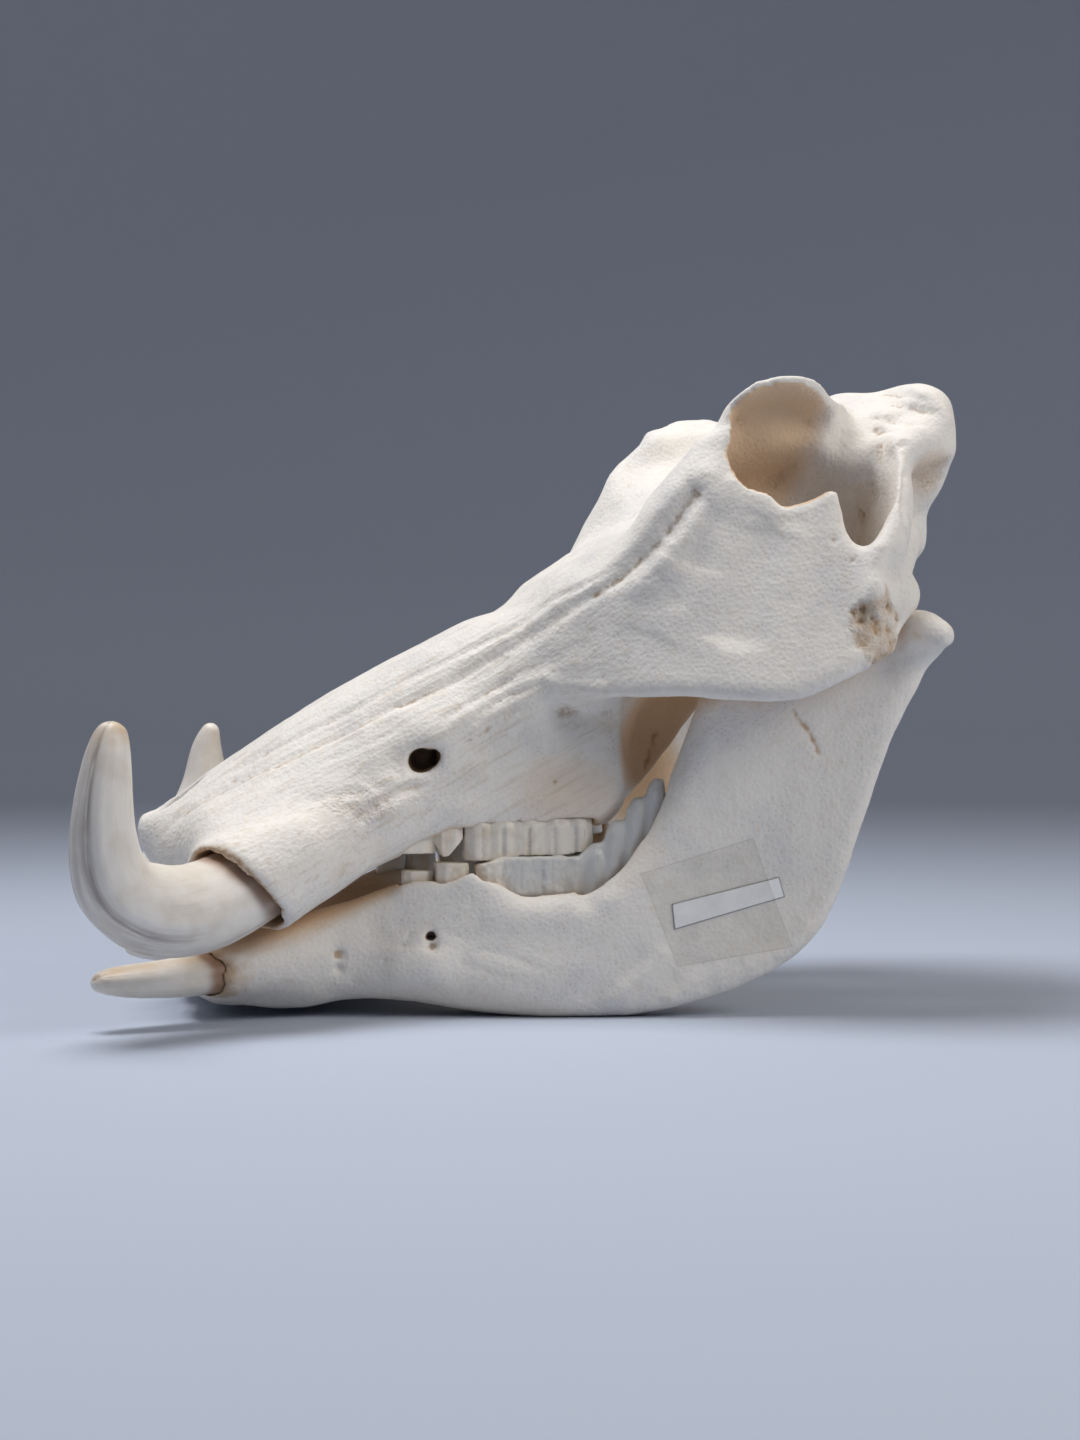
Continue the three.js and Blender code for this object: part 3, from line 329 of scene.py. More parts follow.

# Small holes: place, radius, depth and soil; the soil darkens them inside, partly as painted shade.
CRANIUM_PITS = (
    ((74.5, -57, 219), 2.2, 2.6, 0.9), ((-111.5, -26, 85.5), 1.3, 1, 0.5), ((6, -45, 88), 1.2, 1.2, 0.7),
    ((-45, -42, 96.5), 4.6, 3.5, 0.95), ((112, -95, 152), 1.5, 1.6, 0.8), ((109, -92, 171), 1.2, 1, 0.5),
    ((103, -86, 178), 1.2, 0.9, 0.4), ((20, -62, 128), 1, 0.6, 0.3), ((61, -22, 217), 1.9, 2.4, 0.8),
)
JAW_PITS = (
    ((-41.5, -50.5, 30.5), 1.9, 4.5, 1), ((-76, -46, 24), 2.4, 1.6, 0.35), ((-52, -49, 27), 1, 0.8, 0.4),
    ((-50, -49, 31), 1, 0.7, 0.3), ((-36, -51, 27), 0.9, 0.6, 0.3), ((-58, -49, 22), 1, 0.6, 0.25),
)
# Holes painted near black inside, as painted shade: place, with both sides folded to +Y, and radius.
SHADE_PAINTED_HOLES = (((-41.5, 49, 30.5), 2.3), ((-43, 36, 97), 7.5), ((75, 54, 219), 2.6))
# Where folds are smoothed out, behind the eye and in the temple: middle and half-sizes.
SMOOTH_SPOTS = (((123, -41, 224), (9, 12, 9)), ((132, -47, 200), (10, 10, 14)))
CRUMBLED_END = ((118, -93, 143), (14, 16, 20))  # the eroded rear end of the cheek: middle and half-sizes
FACE_PITS = ((-68, -54, 79), (17, 9, 8))  # pitted bone below the nerve hole
CREST_UNDERSIDE = ((159, -47, 208), (11, 14, 8))  # open pores below the crest

# The middle lines of the tusks, from the root to the tip.
TUSK_LINES = {
    "left_upper_tusk": (
        (-67.5, -40, 70), (-93.5, -52, 59), (-116, -62, 48), (-129.5, -71, 43.5), (-143.5, -81, 44),
        (-157.5, -90, 52), (-162, -94, 67), (-161.8, -95, 86), (-159.9, -94, 102), (-158.5, -93, 109),
    ),
    "right_upper_tusk": (
        (-67.5, 40, 70), (-93.5, 52, 59), (-116, 62, 48), (-124.5, 71, 45.6), (-130.5, 81, 47),
        (-131.5, 89, 55), (-127.5, 94, 68), (-121.5, 96, 84), (-116.5, 95, 100), (-114, 93, 108.6),
    ),
    "left_lower_tusk": (
        (-81.5, -36, 24), (-113.5, -44, 19), (-130.5, -50, 17.5), (-145.5, -56, 17), (-157.5, -61, 17.5),
        (-164.5, -64, 18),
    ),
    "right_lower_tusk": (
        (-81.5, 36, 24), (-113.5, 44, 19), (-125.5, 48, 18), (-136.5, 52, 17.5), (-145.5, 55, 17.7),
        (-150.5, 57, 18),
    ),
}

# Clefts and cracks in the molars, given like the lines on the bones: one at each x.
CROWN_LINES = {
    "upper_molar": tuple(
        ("cleft", 1.2, 0.8, 0.32, ((x, -47, 56), (x + 0.5, -47, 64), (x, -47, 72)))
        for x in (-21, -13.8, -4, 6, 14)
    ),
    "lower_molar": tuple(
        ("crack", 0.8, 0.3, 0.2, ((x, -50, 44), (x - 0.6, -50, 52), (x, -50, 60)))
        for x in (-14, -7, 1, 4.8)
    ),
}

# The card and the tape, by their corners seen from the left: (x, z) at the lower front, the lower rear, the
# upper front and the upper rear.
CARD_CORNERS = ((47.2, 32.8), (89.2, 44.7), (46.4, 42.4), (87.2, 52.2))
TAPE_CORNERS = ((48.3, 19), (91.5, 26.1), (34.9, 53.8), (77.4, 67))

TRIANGLES_A_BONE = 195000  # each bone is thinned out to this many
TOOTH_GRAIN = 0.55  # the size of the cells that the teeth are remeshed with, in millimetres
TUSK_STEP = 0.5  # how far apart the places on a tusk's middle line are, in millimetres
TUSK_RADIUS = 9  # about half a tusk's thickness, in millimetres
SPLINTERS = np.array((-1.3, 0, -0.6))  # how far the rims of the tusk sockets are splintered, towards the tips
SOCKET_REACH = 6  # how far from a tusk the bone round it is worked, in millimetres
FLOOR_GAP = 0.05  # the jaw's lowest points stay this far above the floor, in millimetres
LEFT_OF_ALL = -130  # y where nothing of the skull is in the way, in millimetres
LEAF = 0.12  # the thickness of the card and the tape, in millimetres
RULED = 0.45  # the width of the card's ruled border and of the tape's dusty edge, in millimetres
DAYLIGHT_RAYS = 22  # how many ways a place on a bone is tested for open air
SHELTER_REACH = 75  # how far off a wall still shelters a place, in millimetres
SHELTER_STEP = 6  # the shelter is worked out at every sixth point and evened out between
SHELTER_START = 2.5  # the tests start this far off the bone, in millimetres


# ---------------------------------------------------------------- working by hand

def pick_only(piece):
    """Deselects everything, then selects one piece and makes it the active one."""
    bpy.ops.object.select_all(action="DESELECT")
    piece.select_set(True)
    bpy.context.view_layer.objects.active = piece


def finish_with(piece, kind, **settings):
    """Adds one modifier with its settings and applies it."""
    modifier = piece.modifiers.new(kind.lower(), kind)
    for key, value in settings.items():
        setattr(modifier, key, value)
    pick_only(piece)
    bpy.ops.object.modifier_apply(modifier=modifier.name)


def copy_of(node_name, name):
    """A piece that starts as a solid's own mesh, with its loose triangles merged."""
    piece = bpy.data.objects.new(name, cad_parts[node_name].data.copy())
    bpy.context.scene.collection.objects.link(piece)
    piece.data.materials.clear()
    pick_only(piece)
    bpy.ops.object.mode_set(mode="EDIT")
    bpy.ops.mesh.select_all(action="SELECT")
    bpy.ops.mesh.remove_doubles(threshold=1e-6)
    bpy.ops.object.mode_set(mode="OBJECT")
    bpy.ops.mesh.customdata_custom_splitnormals_clear()
    return piece


def swell(piece, size, height):
    """Low cloudy lumps of a size and height in millimetres all over a piece."""
    lumps = bpy.data.textures.new("lumps", "CLOUDS")
    lumps.noise_scale = size * MM
    lumps.noise_depth = 2
    finish_with(piece, "DISPLACE", texture=lumps, strength=height * MM, texture_coords="LOCAL")


def settle(piece, node, material):
    """The finished piece rides on the skull, stands for its solid and gets its material."""
    piece.data.materials.clear()
    piece.data.materials.append(material)
    pick_only(piece)
    bpy.ops.object.shade_smooth()
    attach(piece, "root")
    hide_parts(node)


def numbers(items, key, width, kind=np.float32):
    """A mesh's values as a table with one row per item."""
    values = np.empty(len(items) * width, kind)
    items.foreach_get(key, values)
    return values.reshape(-1, width)


def along(points, step=0.8, rounds=14):
    """Places along a line through points, one every step, with its corners rounded in so many rounds."""
    points = np.array(points, float)
    lengths = np.concatenate([[0], np.cumsum(np.linalg.norm(np.diff(points, axis=0), axis=1))])
    spots = np.linspace(0, lengths[-1], max(int(lengths[-1] / step), 3))
    path = np.stack([np.interp(spots, lengths, column) for column in points.T], 1)
    for _ in range(rounds):
        path[1:-1] = (path[:-2] + 2 * path[1:-1] + path[2:]) / 4
    return path


def smooth_step(value, low, high):
    """0 below low, 1 above high, and an easy curve between."""
    t = np.clip((value - low) / (high - low), 0, 1)
    return t * t * (3 - 2 * t)


class Clay:
    """A piece's skin as plain numbers in millimetres, to be pressed, raised and stained like clay."""

    def __init__(self, piece):
        self.piece = piece
        self.places = numbers(piece.data.vertices, "co", 3).astype(float) / MM
        self.ends = numbers(piece.data.edges, "vertices", 2, np.int32)
        self.ties = np.bincount(self.ends.ravel(), minlength=len(self.places))
        self.stain = np.zeros(len(self.places))
        self.rough = np.zeros(len(self.places))

    def relax(self, values, rounds):
        """Values evened out over the skin: each point goes half way to its neighbours' mean, many times."""
        a, b = self.ends.T
        table = values.reshape(len(values), -1).copy()
        for _ in range(rounds):
            for k in range(table.shape[1]):
                column = table[:, k]
                total = np.bincount(a, column[b], len(column)) + np.bincount(b, column[a], len(column))
                table[:, k] = (column + total / self.ties) / 2
        return table.reshape(values.shape)

    def round_off(self, rounds):
        """Facets rounded away. What that takes off the edges is evened out and given back."""
        soft = self.relax(self.places, rounds)
        for _ in range(2):
            soft += self.relax(self.places - soft, rounds)
        self.places = soft
        self.write()

    def write(self):
        """Puts the skin back on the piece."""
        self.piece.data.vertices.foreach_set("co", (self.places * MM).astype(np.float32).ravel())
        self.piece.data.update()

    def normals(self):
        """The way that each point of the skin faces."""
        self.write()
        return numbers(self.piece.data.vertex_normals, "vector", 3).astype(float)

    def hold(self):
        """Readies the skin for finding places on it."""
        self.facing = self.normals()
        self.finder = KDTree(len(self.places))
        for i, place in enumerate(self.places):
            self.finder.insert(place, i)
        self.finder.balance()

    def near(self, path, reach):
        """The points within reach of a path, their distances from it and how far along it they are."""
        gaps = np.full(len(self.places), 1e9)
        spots = np.zeros(len(self.places))
        for i, place in enumerate(path):
            found = self.finder.find_range(place, reach)
            if found:
                index = np.array([item[1] for item in found])
                distance = np.array([item[2] for item in found])
                closer = distance < gaps[index]
                gaps[index[closer]] = distance[closer]
                spots[index[closer]] = i / max(len(path) - 1, 1)
        index = np.flatnonzero(gaps < reach)
        return index, gaps[index], spots[index]

    def draw(self, lines, sides=SIDES):
        """Presses lines into the skin, or raises them, with ends that fade."""
        for _, wide, deep, soil, points in lines:
            for side in sides:
                path = along([(x, y * MIRROR[side], z) for x, y, z in points])
                path = [self.finder.find(place)[0] for place in path]
                index, gaps, spots = self.near(path, 2.6 * wide)
                fade = smooth_step(np.minimum(spots, 1 - spots), -0.02, 0.16)
                amount = np.exp(-(gaps / wide) ** 2) * fade
                self.places[index] -= self.facing[index] * (deep * amount)[:, None]
                dirt = soil * np.exp(-(gaps / (0.8 * wide)) ** 2) * fade
                self.stain[index] = np.maximum(self.stain[index], dirt)

    def move(self, moves):
        """Pulls parts of the skin over by so much, less and less away from the middle of each."""
        for _, reach, shift, points, *only in moves:
            for side in only or SIDES:
                turn = np.array([1, MIRROR[side], 1])
                path = along(points * turn, 2) if len(points) > 1 else np.array(points) * turn
                index, gaps, _ = self.near(path, 2.2 * reach)
                self.places[index] += np.exp(-(gaps / reach) ** 2)[:, None] * (np.array(shift) * turn)

    def pinch(self, pinches):
        """Draws the skin in towards the middle line of a bar."""
        for _, reach, share, points in pinches:
            for side in SIDES:
                path = along(np.array(points) * [1, MIRROR[side], 1], 1)
                index, gaps, spots = self.near(path, reach)
                middle = path[np.round(spots * (len(path) - 1)).astype(int)]
                fade = smooth_step(np.minimum(spots, 1 - spots), -0.05, 0.25)
                amount = share * fade * (1 - smooth_step(gaps, 0.55 * reach, reach))
                self.places[index] += (middle - self.places[index]) * amount[:, None]

    def even(self, patch, rounds):
        """Folds smoothed out of a patch."""
        for side in SIDES:
            share = smooth_step(self.inside(patch, side), 0, 0.4)[:, None]
            self.places += (self.relax(self.places, rounds) - self.places) * share

    def pit(self, pits):
        """Small round holes, darkened inside by soil that is partly painted shade."""
        for place, radius, deep, soil in pits:
            for side in SIDES:
                spot = self.finder.find((place[0], place[1] * MIRROR[side], place[2]))[0]
                index, gaps, _ = self.near([spot], 2.4 * radius)
                amount = np.exp(-(gaps / radius) ** 4)
                self.places[index] -= self.facing[index] * (deep * amount)[:, None]
                self.stain[index] = np.maximum(self.stain[index], soil * amount)

    def inside(self, patch, side):
        """How far inside an egg-shaped patch each point is: 1 in the middle, 0 at its edge and beyond."""
        middle, half = patch
        middle = np.array([middle[0], middle[1] * MIRROR[side], middle[2]])
        return 1 - np.clip(np.linalg.norm((self.places - middle) / half, axis=1), 0, 1)

    def crumble(self, patch, height, grit, soil):
        """Spongy broken bone in a patch: lumps, cells and holes."""
        for side in SIDES:
            depth = self.inside(patch, side)
            share = np.zeros(len(depth))
            for i in np.flatnonzero(depth > 0):
                ragged = depth[i] + 0.22 * noise.noise(Vector(self.places[i]) / 7)
                share[i] = smooth_step(ragged, 0.08, 0.3)
                spot = Vector(self.places[i]) / grit
                lump = noise.noise(spot) + 0.6 * noise.noise(spot * 2.3)
                cell = noise.voronoi(spot * 1.4)[0][0]
                relief = 0.55 * lump - 2.7 * max(0.34 - cell, 0)
                self.places[i] += self.facing[i] * share[i] * height * relief
                hole = max(0, 1 - cell / 0.3)
                self.stain[i] = max(self.stain[i], share[i] * soil * (0.38 - 0.3 * lump + 0.8 * hole))
            self.rough = np.maximum(self.rough, share)

    def stand_clear(self, piece, gap, rim):
        """Moves the skin off a tusk that stands in it, and stains and splinters the rim round it."""
        tree = BVHTree.FromObject(piece, bpy.context.evaluated_depsgraph_get())
        corners = np.array(piece.bound_box) / MM
        low, high = corners.min(0) - SOCKET_REACH, corners.max(0) + SOCKET_REACH
        for i in np.flatnonzero(((self.places > low) & (self.places < high)).all(1)):
            place, normal, _, distance = tree.find_nearest(Vector(self.places[i]) * MM, 8 * MM)
            if place is None:
                continue
            offset = np.array(Vector(self.places[i]) * MM - place) / MM
            height = offset @ np.array(normal)
            if height < gap:
                self.places[i] += np.array(normal) * (gap - height)
            near = math.exp(-(distance / MM / rim) ** 2)
            splinter = noise.noise(Vector(self.places[i]) / 2.6)
            self.places[i] += (self.facing[i] * 0.4 + SPLINTERS) * near * splinter
            self.stain[i] = max(self.stain[i], 0.85 * near * (0.8 + 0.5 * splinter))

    def paint(self, **layers):
        """Stores values on the piece for its material."""
        for name, values in layers.items():
            layer = self.piece.data.attributes.new(name, "FLOAT", "POINT")
            layer.data.foreach_set("value", np.clip(values, 0, 1).astype(np.float32))


# ---------------------------------------------------------------- materials

def linear(code):
    """The linear colour of an sRGB hex code."""
    parts = [int(code[i:i + 2], 16) / 255 for i in (1, 3, 5)]
    return (*[c / 12.92 if c < 0.04045 else ((c + 0.055) / 1.055) ** 2.4 for c in parts], 1)


def per_mm(size):
    """The texture scale whose pattern repeats about every so many millimetres."""
    return 1 / (size * MM)


def node(tree, kind, settings, links=None):
    """Adds one node with its settings, its input values and the sockets that feed it."""
    made = tree.nodes.new("ShaderNode" + kind)
    for key, value in settings.items():
        if isinstance(key, str) and hasattr(made, key):
            setattr(made, key, value)
        else:
            made.inputs[key].default_value = value
    for key, source in (links or {}).items():
        tree.links.new(source, made.inputs[key])
    return made


def new_material(name):
    """A new material, with its node tree and its shader."""
    material = bpy.data.materials.new(name)
    material.use_nodes = True
    return material, material.node_tree, material.node_tree.nodes["Principled BSDF"]


def coats(tree, base, layers):
    """Colours laid over a base one by one: each has its strength, and the patterns that it follows with the
    values between which it comes in."""
    colour = None
    for code, top, *patterns in layers:
        share = None
        for source, low, high in patterns:
            settings = {"interpolation_type": "SMOOTHSTEP", "From Min": low, "From Max": high, "To Max": top}
            eased = node(tree, "MapRange", settings, {0: source}).outputs[0]
            if share is not None:
                eased = node(tree, "Math", {"operation": "MULTIPLY"}, {0: share, 1: eased}).outputs[0]
            share, top = eased, 1
        links = {0: share} if colour is None else {0: share, 6: colour}
        settings = {"data_type": "RGBA", 6: linear(base), 7: linear(code)}
        colour = node(tree, "Mix", settings, links).outputs[2]
    return colour


def bleached_bone():
    """Dry bleached bone: matt chalk white where the sun and scrubbing reached it, with cool grey clouds,
    cream flecks and fine pores; tan in the sheltered hollows, partly unbleached bone and partly painted
    shade;
    darker tan where the skin dips; soil brown in grooves, seams and holes, and painted shade near black
    inside the deeper holes."""
    material, tree, shader = new_material("bleached_bone")
    spot = node(tree, "TexCoord", {}).outputs["Object"]
    hollow, groove, stain, rough, fibrous = (
        node(tree, "Attribute", {"attribute_name": name}).outputs["Fac"]
        for name in ("hollow", "groove", "stain", "rough", "fibrous")
    )
    cloud = node(tree, "TexNoise", {"Scale": per_mm(24), "Detail": 5, "Roughness": 0.6}, {0: spot}).outputs[0]
    fleck = node(tree, "TexNoise", {"Scale": per_mm(4), "Detail": 6, "Roughness": 0.68}, {0: spot}).outputs[0]
    grit = node(tree, "TexNoise", {"Scale": per_mm(1.4), "Detail": 3}, {0: spot}).outputs[0]
    # Real pores are about 0.3 mm apart. They are drawn every 1.7 mm, so that they show.
    pore = node(tree, "TexVoronoi", {"Scale": per_mm(1.7)}, {0: spot}).outputs["Distance"]
    # The grain runs up the face, along the nose: 30 mm long and about 2 mm wide.
    settings = {
        "vector_type": "TEXTURE", "Rotation": (0, math.radians(-29), 0),
        "Scale": (30 * MM, 2.6 * MM, 1.9 * MM),
    }
    slope = node(tree, "Mapping", settings, {0: spot}).outputs[0]
    grain = node(tree, "TexNoise", {"Scale": 1, "Detail": 4, "Roughness": 0.6}, {0: slope}).outputs[0]
    layers = [
        ("#D3D0D0", 0.5, (cloud, 0.46, 0.72)),
        ("#E3D6C2", 0.45, (fleck, 0.5, 0.72)),
        ("#C9B8A0", 0.5, (grain, 0.5, 0.75), (fibrous, 0, 1)),
        # Painted shade, in part the real tan of unbleached bone: the sheltered places turn tan and brown.
        ("#DEBC96", 0.9, (hollow, 0.26, 0.78)),
        ("#B48C62", 0.6, (hollow, 0.7, 1.05), (cloud, 0, 0.6)),
        ("#A78863", 0.7, (groove, 0.1, 0.9), (fleck, 0.3, 0.62)),
        ("#B99468", 0.75, (stain, 0.05, 0.6)),
        ("#4E301B", 0.95, (stain, 0.45, 1)),
        ("#9A8A78", 0.35, (pore, 0.3, 0.05), (cloud, 0.4, 0.62)),
    ]
    apart = node(tree, "SeparateXYZ", {}, {0: spot}).outputs
    aside = node(tree, "Math", {"operation": "ABSOLUTE"}, {0: apart[1]}).outputs[0]
    folded = node(tree, "CombineXYZ", {}, {0: apart[0], 1: aside, 2: apart[2]}).outputs[0]
    # Painted shade: near black inside the deeper holes.
    for place, radius in SHADE_PAINTED_HOLES:
        settings = {"operation": "DISTANCE", 1: Vector(place) * MM}
        away = node(tree, "VectorMath", settings, {0: folded}).outputs["Value"]
        layers.append(("#2A1A10", 0.96, (away, radius * MM, 0.7 * radius * MM)))
    tree.links.new(coats(tree, "#F0EAE1", layers), shader.inputs["Base Color"])
    settings = {"From Min": 0.2, "From Max": 0.9, "To Min": 0.5, "To Max": 0.85}
    tree.links.new(node(tree, "MapRange", settings, {0: fleck}).outputs[0], shader.inputs["Roughness"])
    shader.inputs["IOR"].default_value = 1.54
    shader.inputs["Specular IOR Level"].default_value = 0.35
    fibres = node(tree, "Math", {"operation": "MULTIPLY"}, {0: grain, 1: fibrous}).outputs[0]
    bump = node(tree, "Bump", {"Strength": 0.5, "Distance": 0.35 * MM}, {"Height": pore}).outputs[0]
    for height, strength, distance in ((fleck, 0.3, 0.6), (fibres, 0.5, 0.9)):
        settings = {"Strength": strength, "Distance": distance * MM}
        bump = node(tree, "Bump", settings, {"Height": height, "Normal": bump}).outputs[0]
    links = {"Height": grit, "Strength": rough, "Normal": bump}
    tree.links.new(node(tree, "Bump", {"Distance": 1 * MM}, links).outputs[0], shader.inputs["Normal"])
    return material


def tusk_ivory():
    """Worn ivory: satin, creamy white, with long grey-brown streaks and a fine grain that follow the tusk,
    a tan tip, and orange-brown where it comes out of the bone."""
    material, tree, shader = new_material("tusk_ivory")
    spot = node(tree, "TexCoord", {}).outputs["Object"]
    streak, grey, tip, root = (
        node(tree, "Attribute", {"attribute_name": name}).outputs["Fac"]
        for name in ("streak", "grey", "tip", "root")
    )
    lengthwise = node(tree, "Attribute", {"attribute_name": "lengthwise"}).outputs["Vector"]  # in millimetres
    cloud = node(tree, "TexNoise", {"Scale": per_mm(14), "Detail": 4}, {0: spot}).outputs[0]
    drawn_out = node(tree, "Mapping", {"Scale": (0.06, 1, 1)}, {0: lengthwise}).outputs[0]
    fibre = node(tree, "TexNoise", {"Scale": 0.9, "Detail": 4, "Roughness": 0.6}, {0: drawn_out}).outputs[0]
    colour = coats(tree, "#F1EAE0", (
        ("#D8CAB7", 0.5, (cloud, 0.4, 0.7)),
        ("#C9BFB3", 0.25, (fibre, 0.52, 0.78)),
        # The grey: on the upper tusks painted shade on the side away from the light, with a painted highlight
        # by the ridge; on the lower tusks a light grey on one side.
        ("#A59C98", 0.9, (grey, 0, 1), (fibre, 0.25, 0.6)),
        ("#6E5D57", 1, (streak, 0, 1), (fibre, 0.2, 0.6)),
        ("#CDB08A", 1, (tip, 0, 1), (cloud, 0.25, 0.6)),
        ("#8E6240", 0.9, (root, 0, 1)),
    ))
    tree.links.new(colour, shader.inputs["Base Color"])
    settings = {"From Min": 0.2, "From Max": 0.8, "To Min": 0.3, "To Max": 0.55}
    tree.links.new(node(tree, "MapRange", settings, {0: fibre}).outputs[0], shader.inputs["Roughness"])
    shader.inputs["IOR"].default_value = 1.54
    ridges = node(tree, "Bump", {"Strength": 0.35, "Distance": 0.4 * MM}, {"Height": fibre})
    tree.links.new(ridges.outputs[0], shader.inputs["Normal"])
    return material


def tooth_enamel():
    """Old cheek teeth: dull cream-tan enamel, grey where it is unworn and half clear, with fine upright
    cracks and brown tartar at the gum line and between the lobes."""
    material, tree, shader = new_material("tooth_enamel")
    spot = node(tree, "TexCoord", {}).outputs["Object"]
    groove, grey, stain, cusp = (
        node(tree, "Attribute", {"attribute_name": name}).outputs["Fac"]
        for name in ("groove", "grey", "stain", "cusp")
    )
    cloud = node(tree, "TexNoise", {"Scale": per_mm(7), "Detail": 5}, {0: spot}).outputs[0]
    upright = node(tree, "Mapping", {"Scale": (per_mm(1.4), per_mm(1.4), per_mm(18))}, {0: spot}).outputs[0]
    crack = node(tree, "TexNoise", {"Scale": 1, "Detail": 4, "Roughness": 0.6}, {0: upright}).outputs[0]
    colour = coats(tree, "#EFE7DA", (
        ("#DCCDB5", 0.7, (cloud, 0.4, 0.7)),
        ("#CFCFCC", 1, (grey, 0, 1)),
        ("#F3F0EA", 1, (cusp, 0, 1)),
        ("#A3937E", 0.4, (crack, 0.6, 0.74)),
        ("#5B4030", 0.8, (groove, 0.25, 0.9)),
        ("#4A3323", 1, (stain, 0, 1)),
    ))
    tree.links.new(colour, shader.inputs["Base Color"])
    settings = {"From Min": 0.2, "From Max": 0.8, "To Min": 0.28, "To Max": 0.58}
    tree.links.new(node(tree, "MapRange", settings, {0: cloud}).outputs[0], shader.inputs["Roughness"])
    shader.inputs["IOR"].default_value = 1.6
    cracks = node(tree, "Bump", {"Strength": 0.4, "Distance": 0.3 * MM}, {"Height": crack})
    tree.links.new(cracks.outputs[0], shader.inputs["Normal"])
    return material


def label_paper():
    """Plain white paper: matt, faintly fibrous and a little yellow, with a thin ruled border."""
    material, tree, shader = new_material("label_paper")
    spot = node(tree, "TexCoord", {}).outputs["Object"]
    ruled = node(tree, "Attribute", {"attribute_name": "ruled"}).outputs["Fac"]
    fibre = node(tree, "TexNoise", {"Scale": per_mm(0.8), "Detail": 3}, {0: spot}).outputs[0]
    stock = node(
        tree, "Mix", {"data_type": "RGBA", 6: linear("#FFFFFF"), 7: linear("#F4F2EE")}, {0: fibre},
    ).outputs[2]
    line = node(tree, "Mix", {"data_type": "RGBA", 7: linear("#5B5D66")}, {0: ruled, 6: stock}).outputs[2]
    tree.links.new(line, shader.inputs["Base Color"])
    shader.inputs["Roughness"].default_value = 0.7
    bump = node(tree, "Bump", {"Strength": 0.2, "Distance": 0.05 * MM}, {"Height": fibre})
    tree.links.new(bump.outputs[0], shader.inputs["Normal"])
    return material


def clear_film():
    """Clear sticky tape: thin glossy film gone slightly yellow-grey, hazier where air is caught under it and
    along its dusty edges."""
    material, tree, shader = new_material("clear_film")
    spot = node(tree, "TexCoord", {}).outputs["Object"]
    edge = node(tree, "Attribute", {"attribute_name": "ruled"}).outputs["Fac"]
    air = node(tree, "TexNoise", {"Scale": per_mm(9), "Detail": 3, "Roughness": 0.5}, {0: spot}).outputs[0]
    haze = node(tree, "MapRange", {"From Min": 0.35, "From Max": 0.7, "To Max": 0.04}, {0: air}).outputs[0]
    film = node(tree, "Math", {"operation": "MULTIPLY_ADD", 1: 0.07}, {0: edge, 2: haze}).outputs[0]
    body = node(tree, "Math", {"operation": "ADD", 1: 0.03, "use_clamp": True}, {0: film}).outputs[0]
    tree.links.new(body, shader.inputs["Alpha"])
    shader.inputs["Base Color"].default_value = linear("#B5AF9F")
    shader.inputs["Roughness"].default_value = 0.22
    shader.inputs["IOR"].default_value = 1.5
    bump = node(tree, "Bump", {"Strength": 0.5, "Distance": 0.3 * MM}, {"Height": air})
    tree.links.new(bump.outputs[0], shader.inputs["Normal"])
    return material


# ---------------------------------------------------------------- tusks

